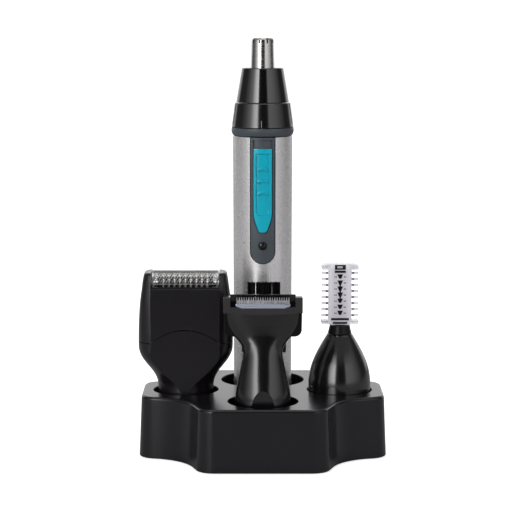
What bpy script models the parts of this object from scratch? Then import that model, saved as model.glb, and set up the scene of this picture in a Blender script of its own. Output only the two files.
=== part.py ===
"""A powered grooming handle with four clip-on heads and a brush, standing in a moulded stand.

Sizes are in millimetres and become metres as each mesh is made.
The origin is on the ground under the middle of the stand. +Z is up and the front faces -Y.
Each head, the handle and the brush is modelled about the vertical axis of its own socket.
"""

import math

import bmesh
import bpy
from mathutils import Matrix, Vector

MM = 0.001

# Clearances
GAP = 0.3
SOCKET_CLEARANCE = 0.5
TURNING_GAP = 0.4

# Round parts that the stand is made for
HANDLE_RADIUS = 13.0
SPIGOT_RADIUS = HANDLE_RADIUS - 3.4
HEAD_BORE = SPIGOT_RADIUS + 1.6
HEAD_RADIUS = HEAD_BORE + 2.37
HEAD_RING_HEIGHT = 10.6
HEAD_WEB_LOW = HEAD_RING_HEIGHT - 1.3

# Stand
STAND_HALF_X = 33.3 + 1.5 * HANDLE_RADIUS
STAND_HALF_Y = 25.9 + 1.5 * HANDLE_RADIUS
STAND_HEIGHT = 26.75
STAND_DRAFT = 1.0
STAND_WALL = 2.4
STAND_EDGE = 1.2
RIM_LIFT = 0.4
LOBE_HALF_Y = 17.9
LOBE_CORNER = 8.0
WAIST_X = STAND_HALF_X - 19.15
WAIST_Y = 21.8
WAIST_CORNER = 22.0
BLOCK_HALF_X = HANDLE_RADIUS + 12.95
BLOCK_CORNER = 8.0
BASE_PLATE = 1.6
BASE_LIFT = 1.6
FOOT_RADIUS = 4.5
FOOT_X = BLOCK_HALF_X + 1.05
FOOT_Y = LOBE_HALF_Y + 3.1

# Sockets: the land left between each mouth and the stand's edge sets where the socket lies
SOCKET_WALL = 2.0
SOCKET_BASE = 1.5
CUP_SIDES = 16
SIDE_MOUTH = HEAD_RADIUS + SOCKET_CLEARANCE
SIDE_LAND = 5.53
FRONT_MOUTH = HEAD_RADIUS + 1.13
FRONT_LAND = 5.1
REAR_MOUTH = HANDLE_RADIUS + 5.3
REAR_LAND = 4.7
REAR_MOUTH_DEPTH = 10.0
SOCKET_FLOOR = BASE_LIFT + BASE_PLATE + GAP + SOCKET_BASE

REAR = (0.0, STAND_HALF_Y - REAR_LAND - REAR_MOUTH)
FRONT = (0.0, FRONT_MOUTH + FRONT_LAND - STAND_HALF_Y)
LEFT = (SIDE_MOUTH + SIDE_LAND - STAND_HALF_X, 0.0)
RIGHT = (STAND_HALF_X - SIDE_LAND - SIDE_MOUTH, 0.0)
MIDDLE = (0.5, (REAR[1] - REAR_MOUTH + FRONT[1] + FRONT_MOUTH) / 2)
SEAT = SOCKET_FLOOR + GAP

# Brush
BRUSH_STEM_HALF_X = 4.5
BRUSH_STEM_HALF_Y = 1.5
BRUSH_BODY_HALF_X = 9.5
BRUSH_BODY_HALF_Y = 2.6
BRUSH_BODY_LOW = 43.7
BRUSH_BODY_TOP = 52.0
BRUSH_TOP = 74.5
TUFTS = 4
TUFT_PITCH = 3.35
TUFT_RADIUS = 1.2
TUFT_TOP_RADIUS = 1.55
TUFT_SPREAD = 0.04

# Handle
HANDLE_FOOT_RADIUS = HANDLE_RADIUS - 0.32
BODY_LENGTH = 130.1
SLEEVE_WALL = 0.9
CAP_HEIGHT = 10.7
CAP_SPIGOT = 4.7
COLLAR_RADIUS = HANDLE_RADIUS + 0.64
COLLAR_HEIGHT = 2.7
COLLAR_BOTTOM = SEAT + BODY_LENGTH
COLLAR_TOP = COLLAR_BOTTOM + COLLAR_HEIGHT
PANEL_HALF = 5.5
PANEL_LENGTH = 54.6
PANEL_RADIUS = HANDLE_RADIUS + 0.12
PANEL_INNER = HANDLE_RADIUS - 1.4
PANEL_TOP = COLLAR_BOTTOM - 0.5
CHASSIS_RADIUS = PANEL_INNER - GAP
CHASSIS_WALL = 1.1
CHASSIS_BORE = CHASSIS_RADIUS - CHASSIS_WALL
SPIGOT_WALL = 1.3
SPIGOT_HEIGHT = HEAD_WEB_LOW + 0.4
PANEL_LOW = PANEL_TOP - PANEL_LENGTH
SLIDER_HALF = 4.0
SLIDER_TIP_HALF = 1.75
SLIDER_RADIUS = HANDLE_RADIUS + 0.65
SLIDER_TOP = PANEL_TOP - 4.8
SLIDER_LOW = SLIDER_TOP - 36.2
SLIDER_TAPER = 8.6
SLIDER_TRAVEL = 3.6
LENS_Z = PANEL_LOW + 7.7
LENS_RADIUS = 1.75
STEM_Z = SLIDER_LOW + 17.0
STEM_HALF = 1.6
BOARD_HALF = 5.2
BOARD_FRONT = 1.6 - CHASSIS_BORE
BOARD_THICK = 1.0
BATTERY_RADIUS = 7.0
BATTERY_LOW = SEAT + 20.0
BATTERY_LENGTH = PANEL_LOW - 3.1 - BATTERY_LOW
MOTOR_RADIUS = 6.9
MOTOR_LENGTH = 26.0
MOTOR_TOP = COLLAR_TOP - 8.0
MOTOR_SHAFT_RADIUS = 1.0

# Joint between the handle and every head, measured up from the head's lower edge
HEAD_STANDOFF = 0.8
HEAD_TOP_RADIUS = HEAD_RADIUS - 1.82
HEAD_SHOULDER = HEAD_RADIUS - 1.24
LOOSE_TOP_RADIUS = HEAD_RADIUS - 1.47
NOSE_SEAT = COLLAR_TOP + HEAD_STANDOFF
TANG_HALF_X = 0.45
TANG_HALF_Y = 2.2
HUB_TOP = HEAD_WEB_LOW - GAP
HUB_LOW = HUB_TOP - 2.2
TANG_LOW = HUB_LOW - 2.8
HUB_RADIUS = 2.8
HEAD_SHAFT = 0.9
PEG_RADIUS = 0.7
PEG_OFFSET = 2.25
COUPLER_RADIUS = 3.2
COUPLER_LOW = 0.7
COUPLER_TOP = 3.7
PEG_TOP = HUB_LOW - 0.4

# Crank and drive arm inside the three reciprocating heads
CRANK_RADIUS = 3.2
CRANK_LOW = HEAD_RING_HEIGHT + 0.6
CRANK_TOP = CRANK_LOW + 1.4
CRANK_THROW = 1.0
PIN_RADIUS = 0.8
PIN_TOP = CRANK_TOP + 3.9
BLADE_STROKE = 1.0
LIFT_STROKE = 0.5
FORK_LOW = CRANK_TOP + 0.8
FORK_TOP = FORK_LOW + 4.0
FORK_HALF = CRANK_THROW + PIN_RADIUS + BLADE_STROKE + GAP
FORK_PRONG = 1.4

# Nose head, measured up from its lower edge
CONE_HEIGHT = 14.4
CONE_TOP_RADIUS = HEAD_TOP_RADIUS - 2.6
CONE_WALL = 1.4
TUBE_RADIUS = 5.23
TUBE_TOP_RADIUS = 4.88
TUBE_HEIGHT = 13.4
TUBE_WALL = 0.65
TUBE_FLANGE = CONE_TOP_RADIUS - CONE_WALL - 0.45
TUBE_SLOTS = 9
TUBE_SLOT = 0.7
TUBE_SLOT_DEPTH = 2.3

# Where the body of each loose head starts, above its ring
BODY_FOOT = SEAT + HEAD_RING_HEIGHT + GAP

# Foil shaver head
SHAVER_HEIGHT = 62.6
SHAVER_TOP = BODY_FOOT + SHAVER_HEIGHT
SHAVER_HALF_X = 20.3
SHAVER_WALL = 1.6
SEAM_Z = BODY_FOOT + 0.5128 * SHAVER_HEIGHT
SEAM_RISE = 5.7
SEAM_HALF = SHAVER_HALF_X - 5.3
EAR_INNER = SHAVER_HALF_X - 5.8
NOTCH_FLOOR = SHAVER_TOP - 8.2
FOIL_HALF_Y = 6.3
FOIL_RISE = 5.8
FOIL_THICK = 0.3
FOIL_BASE = NOTCH_FLOOR + 2.0
FRAME_HALF_Y = 8.0
CUTTER_BLADES = 9

# Precision head
T_HALF = 16.5
T_DEPTH = 5.5
T_TOP = 71.3
T_LOW = 54.4
T_CORNER = 3.0
T_FLOOR = 64.6
T_POCKET = 13.2
BLADE_HALF = 11.0
BLADE_TEETH = 18
PLATE_THICK = 0.8

# Eyebrow head
BELL_RADIUS = HEAD_RADIUS - 0.12
BELL_TOP = 51.0
BELL_WALL = 1.5
BELL_MOUTH = 3.6
NECK_TOP = 55.0
COMB_HALF = 8.0
COMB_COLUMN = 4.9
COMB_DEPTH = 3.4
COMB_WALL = 1.0
COMB_TOP = 81.7
COMB_TEETH = 8
COMB_PITCH = 2.62
COMB_TOOTH = 0.9

TURN_STEPS = 28

FINISHES = {
    "satin_black": ((0.018, 0.018, 0.02), 0.4, 0.0),
    "gloss_black": ((0.008, 0.008, 0.009), 0.12, 0.0),
    "silver": ((0.52, 0.52, 0.53), 0.35, 0.8),
    "slate": ((0.065, 0.08, 0.095), 0.4, 0.0),
    "teal": ((0.0, 0.43, 0.58), 0.3, 0.0),
    "steel": ((0.55, 0.54, 0.53), 0.22, 1.0),
    "clear": ((0.85, 0.85, 0.88), 0.08, 0.0),
    "rubber": ((0.02, 0.02, 0.02), 0.8, 0.0),
    "board": ((0.02, 0.16, 0.06), 0.5, 0.0),
    "cell": ((0.1, 0.3, 0.12), 0.4, 0.0),
    "nylon": ((0.75, 0.75, 0.72), 0.5, 0.0),
    "bristle": ((0.012, 0.012, 0.012), 0.6, 0.0),
}

PARTS = bpy.data.collections.new("grooming_set")
CUTTERS = bpy.data.collections.new("cutters")


# ---------------------------------------------------------------- helpers


def clear_scene():
    for obj in list(bpy.data.objects):
        bpy.data.objects.remove(obj, do_unlink=True)
    for group in (PARTS, CUTTERS):
        bpy.context.scene.collection.children.link(group)


def paint(obj, finish):
    colour, roughness, metallic = FINISHES[finish]
    mat = bpy.data.materials.new(obj.name + "_" + finish)
    mat.use_nodes = True
    shader = mat.node_tree.nodes["Principled BSDF"]
    shader.inputs["Base Color"].default_value = (*colour, 1.0)
    shader.inputs["Roughness"].default_value = roughness
    shader.inputs["Metallic"].default_value = metallic
    obj.data.materials.append(mat)


def add_object(name, mesh, place, finish):
    """A part when it has a finish, otherwise a tool for a Boolean."""
    obj = bpy.data.objects.new(name, mesh)
    obj.location = (place[0] * MM, place[1] * MM, 0.0)
    if finish:
        PARTS.objects.link(obj)
        paint(obj, finish)
    else:
        CUTTERS.objects.link(obj)
        obj.hide_render = True
        obj.display_type = "WIRE"
    return obj


def from_bmesh(name, bm, place, finish=None):
    mesh = bpy.data.meshes.new(name)
    bm.to_mesh(mesh)
    bm.free()
    return add_object(name, mesh, place, finish)


def boolean(obj, tool, operation):
    step = obj.modifiers.new(tool.name, "BOOLEAN")
    step.operation = operation
    step.solver = "EXACT"
    step.object = tool


def cut(obj, tool):
    boolean(obj, tool, "DIFFERENCE")


def join(obj, tool):
    boolean(obj, tool, "UNION")


def turned(name, profile, place, finish=None, loop=False, steps=TURN_STEPS):
    """Turn (radius, height) points, given down the outer side first, about the vertical axis."""
    points = [(radius * MM, 0.0, height * MM) for radius, height in profile]
    edges = [(i, i + 1) for i in range(len(points) - 1)]
    if loop:
        edges.append((len(points) - 1, 0))
    mesh = bpy.data.meshes.new(name)
    mesh.from_pydata(points, edges, [])
    obj = add_object(name, mesh, place, finish)
    screw = obj.modifiers.new("Turn", "SCREW")
    screw.steps = screw.render_steps = steps
    screw.use_merge_vertices = True
    screw.merge_threshold = 0.00001
    screw.use_smooth_shade = True
    return obj


def ring(name, outer, inner, low, high, place, finish=None, steps=TURN_STEPS):
    profile = [(outer, high), (outer, low), (inner, low), (inner, high)]
    return turned(name, profile, place, finish, loop=True, steps=steps)


def disc(name, radius, low, high, place, finish=None, steps=TURN_STEPS):
    profile = [(0.0, high), (radius, high), (radius, low), (0.0, low)]
    return turned(name, profile, place, finish, steps=steps)


def add_box(bm, low, high):
    low, high = Vector(low) * MM, Vector(high) * MM
    size = Matrix.Diagonal((*(high - low), 1.0))
    bmesh.ops.create_cube(bm, size=1.0, matrix=Matrix.Translation((low + high) / 2) @ size)


def boxes(name, corners, place, finish=None):
    """One mesh of boxes, each given by its lowest and highest corners."""
    bm = bmesh.new()
    for low, high in corners:
        add_box(bm, low, high)
    return from_bmesh(name, bm, place, finish)


def add_rod(bm, radius, start, end, top_radius=None, segments=16):
    """A round bar between two points, which may taper."""
    start, end = Vector(start) * MM, Vector(end) * MM
    along = end - start
    turn = along.to_track_quat("Z", "Y").to_matrix().to_4x4()
    bmesh.ops.create_cone(
        bm,
        cap_ends=True,
        segments=segments,
        radius1=radius * MM,
        radius2=(top_radius or radius) * MM,
        depth=along.length,
        matrix=Matrix.Translation((start + end) / 2) @ turn,
    )


def rod(name, radius, start, end, place, finish=None, segments=24):
    bm = bmesh.new()
    add_rod(bm, radius, start, end, segments=segments)
    return from_bmesh(name, bm, place, finish)


def skin(name, rings, place, finish=None):
    """Close a surface over level rings of points, given from the lowest to the highest."""
    bm = bmesh.new()
    loops = [[bm.verts.new((x * MM, y * MM, z * MM)) for x, y in points] for z, points in rings]
    for lower, upper in zip(loops, loops[1:]):
        for i in range(len(lower)):
            j = (i + 1) % len(lower)
            bm.faces.new((lower[i], lower[j], upper[j], upper[i]))
    bm.faces.new(reversed(loops[0]))
    bm.faces.new(loops[-1])
    return from_bmesh(name, bm, place, finish)


def oval(half_x, half_y, squareness, count=28):
    """A superellipse: squareness 2 is round, and more is nearer to a rectangle."""
    power = 2.0 / squareness
    points = []
    for i in range(count):
        angle = 2 * math.pi * (i + 0.5) / count
        c, s = math.cos(angle), math.sin(angle)
        x = half_x * math.copysign(abs(c) ** power, c)
        y = half_y * math.copysign(abs(s) ** power, s)
        points.append((x, y))
    return points


def oval_skin(name, sections, place, finish=None, inset=0.0):
    rings = [(z, oval(half_x - inset, half_y - inset, n)) for z, half_x, half_y, n in sections]
    return skin(name, rings, place, finish)


def slab(name, outline, front, back, place, finish=None):
    """A flat outline of (x, z) points with thickness from front to back along Y."""
    curve = bpy.data.curves.new(name, "CURVE")
    curve.dimensions = "2D"
    curve.fill_mode = "BOTH"
    curve.extrude = (back - front) / 2 * MM
    spline = curve.splines.new("POLY")
    spline.points.add(len(outline) - 1)
    for point, (x, z) in zip(spline.points, outline):
        point.co = (x * MM, z * MM, 0.0, 1.0)
    spline.use_cyclic_u = True
    flat = bpy.data.objects.new(name + "_outline", curve)
    CUTTERS.objects.link(flat)
    graph = bpy.context.evaluated_depsgraph_get()
    mesh = bpy.data.meshes.new_from_object(flat.evaluated_get(graph))
    bpy.data.objects.remove(flat)
    bm = bmesh.new()
    bm.from_mesh(mesh)
    bmesh.ops.remove_doubles(bm, verts=bm.verts, dist=0.000001)
    upright = Matrix.Rotation(math.pi / 2, 4, "X")
    bmesh.ops.transform(bm, matrix=upright, verts=bm.verts)
    bmesh.ops.translate(bm, vec=(0.0, (front + back) / 2 * MM, 0.0), verts=bm.verts)
    bmesh.ops.recalc_face_normals(bm, faces=bm.faces)
    return from_bmesh(name, bm, place, finish)


def arc(centre, radius, start, end, steps=5):
    """Points along an arc, with angles in degrees."""
    angles = [math.radians(start + (end - start) * i / steps) for i in range(steps + 1)]
    return [(centre[0] + radius * math.cos(a), centre[1] + radius * math.sin(a)) for a in angles]


def mirrored(half):
    """A closed outline from its right half, which is listed upwards."""
    return list(half) + [(-x, z) for x, z in reversed(half)]


# ---------------------------------------------------------------- stand


def rounded(corners):
    """An outline from corners given as (point, radius), each replaced by its arc."""
    outline = []
    count = len(corners)
    for i, (corner, radius) in enumerate(corners):
        corner = Vector(corner)
        to_last = (Vector(corners[i - 1][0]) - corner).normalized()
        to_next = (Vector(corners[(i + 1) % count][0]) - corner).normalized()
        half = to_last.angle(to_next) / 2
        centre = corner + (to_last + to_next).normalized() * radius / math.sin(half)
        start = corner + to_last * radius / math.tan(half) - centre
        end = corner + to_next * radius / math.tan(half) - centre
        first = math.degrees(math.atan2(start.y, start.x))
        sweep = math.degrees(math.atan2(end.y, end.x)) - first
        sweep = (sweep + 180) % 360 - 180
        outline += arc(centre, radius, first, first + sweep)
    return outline


def stand_outline(inset):
    """The stand's wavy outline, moved inwards by the inset."""
    quarter = [
        ((STAND_HALF_X, LOBE_HALF_Y), LOBE_CORNER),
        ((WAIST_X, WAIST_Y), WAIST_CORNER),
        ((BLOCK_HALF_X, STAND_HALF_Y), BLOCK_CORNER),
    ]
    half = quarter + [((-x, y), r) for (x, y), r in reversed(quarter)]
    points = rounded(half + [((-x, -y), r) for (x, y), r in half])
    moved = []
    for i, point in enumerate(points):
        ahead = Vector(points[(i + 1) % len(points)]) - Vector(points[i - 1])
        inward = Vector((-ahead.y, ahead.x)).normalized()
        moved.append(tuple(Vector(point) + inward * inset))
    return moved


def socket_cup(name, mouth, place, bore=None, depth=0.0):
    """The outside of a socket, then the space inside it, which may step down to a bore."""
    top = STAND_HEIGHT - STAND_WALL / 2
    bottom = SOCKET_FLOOR - SOCKET_BASE
    above = STAND_HEIGHT + 1.0
    bore = bore or mouth
    step = STAND_HEIGHT - depth
    outside = [(0.0, top), (mouth + SOCKET_WALL, top)]
    inside = [(0.0, above), (mouth, above)]
    if depth:
        outside += [(mouth + SOCKET_WALL, step - SOCKET_WALL), (bore + SOCKET_WALL, step - SOCKET_WALL)]
        inside += [(mouth, step), (bore, step)]
    outside += [(bore + SOCKET_WALL, bottom), (0.0, bottom)]
    inside += [(bore, SOCKET_FLOOR), (0.0, SOCKET_FLOOR)]
    cup = turned(name + "_cup", outside, place, steps=CUP_SIDES)
    return cup, turned(name + "_bore", inside, place)


def stand_shell():
    edge = STAND_EDGE
    top = STAND_HEIGHT
    rings = [
        (RIM_LIFT, stand_outline(0.0)),
        (top - edge, stand_outline(STAND_DRAFT)),
        (top - edge * 0.3, stand_outline(STAND_DRAFT + edge * 0.3)),
        (top, stand_outline(STAND_DRAFT + edge)),
    ]
    shell = skin("stand_shell", rings, (0, 0), "satin_black")
    inside = stand_outline(STAND_DRAFT + STAND_WALL)
    cut(shell, skin("stand_hollow", [(-1.0, inside), (top - STAND_WALL, inside)], (0, 0)))
    sockets = [
        socket_cup("rear", REAR_MOUTH, REAR, HANDLE_RADIUS + SOCKET_CLEARANCE, REAR_MOUTH_DEPTH),
        socket_cup("front", FRONT_MOUTH, FRONT),
        socket_cup("left", SIDE_MOUTH, LEFT),
        socket_cup("right", SIDE_MOUTH, RIGHT),
    ]
    half_x = BRUSH_STEM_HALF_X + SOCKET_CLEARANCE
    half_y = BRUSH_STEM_HALF_Y + SOCKET_CLEARANCE
    slot_outer = (
        (-half_x - SOCKET_WALL, -half_y - SOCKET_WALL, SOCKET_FLOOR - SOCKET_BASE),
        (half_x + SOCKET_WALL, half_y + SOCKET_WALL, top - STAND_WALL / 2),
    )
    slot_inner = ((-half_x, -half_y, SOCKET_FLOOR), (half_x, half_y, top + 1.0))
    for cup, _ in sockets:
        join(shell, cup)
    join(shell, boxes("brush_cup", [slot_outer], MIDDLE))
    for _, bore in sockets:
        cut(shell, bore)
    cut(shell, boxes("brush_bore", [slot_inner], MIDDLE))


def stand_base():
    outline = stand_outline(STAND_DRAFT + STAND_WALL + GAP)
    low, high = BASE_LIFT, BASE_LIFT + BASE_PLATE
    skin("stand_base_plate", [(low, outline), (high, outline)], (0, 0), "satin_black")
    places = [(x, y) for y in (-FOOT_Y, FOOT_Y) for x in (-FOOT_X, FOOT_X)]
    for number, place in enumerate(places, 1):
        disc(f"stand_foot_{number}", FOOT_RADIUS, 0.0, BASE_LIFT - GAP, place, "rubber", steps=24)


# ---------------------------------------------------------------- brush


def brush():
    groove_half_x = (TUFTS - 1) / 2 * TUFT_PITCH + 2 * TUFT_RADIUS
    groove_half_y = TUFT_RADIUS + 0.7
    groove_floor = BRUSH_BODY_TOP - 2.0
    stem_low = (-BRUSH_STEM_HALF_X, -BRUSH_STEM_HALF_Y, SEAT)
    stem_high = (BRUSH_STEM_HALF_X, BRUSH_STEM_HALF_Y, BRUSH_BODY_LOW + 2.0)
    handle = boxes("brush_handle", [(stem_low, stem_high)], MIDDLE, "satin_black")
    head_low = (-BRUSH_BODY_HALF_X, -BRUSH_BODY_HALF_Y, BRUSH_BODY_LOW)
    head_high = (BRUSH_BODY_HALF_X, BRUSH_BODY_HALF_Y, BRUSH_BODY_TOP)
    join(handle, boxes("brush_head_block", [(head_low, head_high)], MIDDLE))
    low = (-groove_half_x - GAP, -groove_half_y - GAP, groove_floor - GAP)
    high = (groove_half_x + GAP, groove_half_y + GAP, BRUSH_BODY_TOP + 2.0)
    cut(handle, boxes("brush_groove", [(low, high)], MIDDLE))

    strip_high = (groove_half_x, groove_half_y, groove_floor + 1.0)
    strip = [((-groove_half_x, -groove_half_y, groove_floor), strip_high)]
    bristles = boxes("brush_bristles", strip, MIDDLE, "bristle")
    bm = bmesh.new()
    for i in range(TUFTS):
        x = (i - (TUFTS - 1) / 2) * TUFT_PITCH
        start = (x, 0, groove_floor + 0.5)
        end = (x * (1 + TUFT_SPREAD), 0, BRUSH_TOP)
        add_rod(bm, TUFT_RADIUS, start, end, TUFT_TOP_RADIUS, segments=12)
    join(bristles, from_bmesh("tufts", bm, MIDDLE))


# ---------------------------------------------------------------- handle


def sleeve_radius(z):
    share = (z - SEAT) / BODY_LENGTH
    return HANDLE_FOOT_RADIUS + (HANDLE_RADIUS - HANDLE_FOOT_RADIUS) * share


def u_outline(half, low, high):
    """A strip with a round lower end and a square upper end."""
    return arc((0.0, low + half), half, -180, 0, 16) + [(half, high), (-half, high)]


def slider_outline(grow, high):
    """The switch's outline: straight sides that curve in to a blunt tip."""
    half, tip = SLIDER_HALF + grow, SLIDER_TIP_HALF + grow
    low = SLIDER_LOW - grow
    right = [(tip - 0.55, low), (tip, low + 0.4)]
    for share in (0.2, 0.4, 0.6, 0.8):
        right.append((tip + (half - tip) * math.sin(share * math.pi / 2), low + 0.4 + SLIDER_TAPER * share))
    return mirrored(right + [(half, low + 0.4 + SLIDER_TAPER), (half, high)])


def curved_plate(name, outline, outer, inner, low, high, finish):
    """A plate bent round the handle: a tube kept only inside a front outline."""
    plate = ring(name, outer, inner, low, high, REAR, finish, steps=64)
    boolean(plate, slab(name + "_shape", outline, -HANDLE_RADIUS - 4, -5.0, REAR), "INTERSECT")
    return plate


def handle_shell():
    low = SEAT + CAP_HEIGHT + GAP
    high = COLLAR_BOTTOM - GAP
    outer_low, outer_high = sleeve_radius(low), sleeve_radius(high)
    profile = [(outer_high, high), (outer_low, low)]
    profile += [(outer_low - SLEEVE_WALL, low), (outer_high - SLEEVE_WALL, high)]
    sleeve = turned("handle_sleeve", profile, REAR, "silver", loop=True, steps=40)
    notch = u_outline(PANEL_HALF + GAP, PANEL_LOW - GAP, high + 2)
    cut(sleeve, slab("panel_notch", notch, -HANDLE_RADIUS - 4, -5.0, REAR))

    cap_top = SEAT + CAP_HEIGHT
    outer = HANDLE_FOOT_RADIUS - 0.08
    spigot = outer_low - SLEEVE_WALL - GAP
    socket = 2.6
    cap = [(spigot, cap_top + CAP_SPIGOT), (spigot, cap_top), (outer, cap_top), (outer, SEAT + 1.2)]
    cap += [(outer - 1.2, SEAT), (socket, SEAT), (socket, SEAT + 2.0), (spigot - 1.4, SEAT + 2.0)]
    cap += [(spigot - 1.4, cap_top + CAP_SPIGOT)]
    turned("handle_bottom_cap", cap, REAR, "satin_black", loop=True)
    ring("charging_socket", 5.0, 1.6, SEAT + 2.0 + GAP, SEAT + 11.0, REAR, "steel", steps=24)


def handle_inside():
    low = SEAT + CAP_HEIGHT + CAP_SPIGOT + GAP
    shoulder = COLLAR_BOTTOM - GAP
    deck = COLLAR_TOP + SPIGOT_HEIGHT
    bore = SPIGOT_RADIUS - SPIGOT_WALL
    profile = [(SPIGOT_RADIUS, deck), (SPIGOT_RADIUS, shoulder), (CHASSIS_RADIUS, shoulder)]
    profile += [(CHASSIS_RADIUS, low), (CHASSIS_BORE, low), (CHASSIS_BORE, shoulder - 1.5)]
    profile += [(bore, shoulder - 1.5), (bore, deck - 1.3)]
    profile += [(COUPLER_RADIUS + TURNING_GAP, deck - 1.3), (COUPLER_RADIUS + TURNING_GAP, deck)]
    chassis = turned("handle_chassis", profile, REAR, "satin_black", loop=True)
    slot_half = STEM_HALF + 0.6
    slot_low = (-slot_half - 1.6, -CHASSIS_RADIUS - 1, STEM_Z - 7.0)
    slot_high = (slot_half + 1.6, -6.0, STEM_Z + SLIDER_TRAVEL + 7.0)
    cut(chassis, boxes("switch_slot", [(slot_low, slot_high)], REAR))
    hole_start, hole_end = (0, -CHASSIS_RADIUS - 2, LENS_Z), (0, -6, LENS_Z)
    cut(chassis, rod("led_hole", LENS_RADIUS + GAP, hole_start, hole_end, REAR))

    board_low, board_high = PANEL_LOW - 2.0, STEM_Z + SLIDER_TRAVEL + 9.0
    back = BOARD_FRONT + BOARD_THICK
    board = ((-BOARD_HALF, BOARD_FRONT, board_low), (BOARD_HALF, back, board_high))
    boxes("circuit_board", [board], REAR, "board")
    face = BOARD_FRONT - GAP
    switch = ((-3.0, face - 1.3, STEM_Z - 4.0), (3.0, face, STEM_Z + SLIDER_TRAVEL + 4.0))
    boxes("slide_switch", [switch], REAR, "steel")
    led_start, led_end = (0, face, LENS_Z), (0, face - 2.1, LENS_Z)
    rod("charge_led", 1.25, led_start, led_end, REAR, "clear", segments=16)

    disc("battery_cell", BATTERY_RADIUS, BATTERY_LOW, BATTERY_LOW + BATTERY_LENGTH, REAR, "cell")
    outer = CHASSIS_BORE - GAP
    inner = BATTERY_RADIUS + GAP
    lower = [(outer, BATTERY_LOW + 6), (outer, BATTERY_LOW - 2), (6.0, BATTERY_LOW - 2)]
    lower += [(6.0, BATTERY_LOW - GAP), (inner, BATTERY_LOW - GAP), (inner, BATTERY_LOW + 6)]
    turned("battery_holder_lower", lower, REAR, "nylon", loop=True, steps=20)
    top = BATTERY_LOW + BATTERY_LENGTH
    outer_front = -BOARD_FRONT - BOARD_THICK - GAP
    upper = [(outer_front, top + 2), (outer_front, top + GAP + 0.2), (outer, top - 5), (outer, top - 8)]
    upper += [(inner, top - 8), (inner, top + GAP), (3.0, top + GAP), (3.0, top + 2)]
    turned("battery_holder_upper", upper, REAR, "nylon", loop=True, steps=20)
    battery_spring()


def battery_spring():
    """A coil spring under the cell, closed to the bottom of the cell by its last turn."""
    turns, wire, radius = 4, 0.35, 3.4
    low, high = SEAT + 11.0 + GAP + wire, BATTERY_LOW - GAP - wire
    per_turn = 10
    count = turns * per_turn + 1
    curve = bpy.data.curves.new("battery_spring", "CURVE")
    curve.dimensions = "3D"
    curve.bevel_depth = wire * MM
    curve.bevel_resolution = 2
    curve.use_fill_caps = True
    spline = curve.splines.new("POLY")
    spline.points.add(count - 1)
    for i, point in enumerate(spline.points):
        angle = 2 * math.pi * i / per_turn
        z = low + (high - low) * i / (count - 1)
        point.co = (radius * math.cos(angle) * MM, radius * math.sin(angle) * MM, z * MM, 1.0)
    add_object("battery_spring", curve, REAR, "steel")


def motor():
    low = MOTOR_TOP - MOTOR_LENGTH
    shaft_hole = MOTOR_SHAFT_RADIUS + TURNING_GAP
    can = [(shaft_hole, MOTOR_TOP), (MOTOR_RADIUS, MOTOR_TOP), (MOTOR_RADIUS, low), (0.0, low)]
    can = [(0.0, MOTOR_TOP - 4.0), (shaft_hole, MOTOR_TOP - 4.0)] + can
    turned("motor_can", can, REAR, "steel", steps=20)
    outer = CHASSIS_BORE - GAP
    holder_top = COLLAR_BOTTOM - GAP - 1.5 - GAP
    inner = MOTOR_RADIUS + GAP
    holder = [(outer, holder_top), (outer, MOTOR_TOP - 2.0), (inner, MOTOR_TOP - 2.0)]
    holder += [(inner, MOTOR_TOP + GAP), (shaft_hole, MOTOR_TOP + GAP), (shaft_hole, holder_top)]
    turned("motor_holder", holder, REAR, "nylon", loop=True, steps=20)
    shaft_top = NOSE_SEAT + COUPLER_TOP - GAP
    disc("motor_shaft", MOTOR_SHAFT_RADIUS, MOTOR_TOP - 4.0 + GAP, shaft_top, REAR, "steel", steps=20)
    low, high = NOSE_SEAT + COUPLER_LOW, NOSE_SEAT + COUPLER_TOP
    hole = MOTOR_SHAFT_RADIUS + GAP
    coupler = ring("drive_coupler", COUPLER_RADIUS, hole, low, high, REAR, "nylon", steps=24)
    bm = bmesh.new()
    for x in (-PEG_OFFSET, PEG_OFFSET):
        add_rod(bm, PEG_RADIUS, (x, 0, high - 0.5), (x, 0, NOSE_SEAT + PEG_TOP), segments=12)
    join(coupler, from_bmesh("coupler_pegs", bm, REAR))


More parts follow.
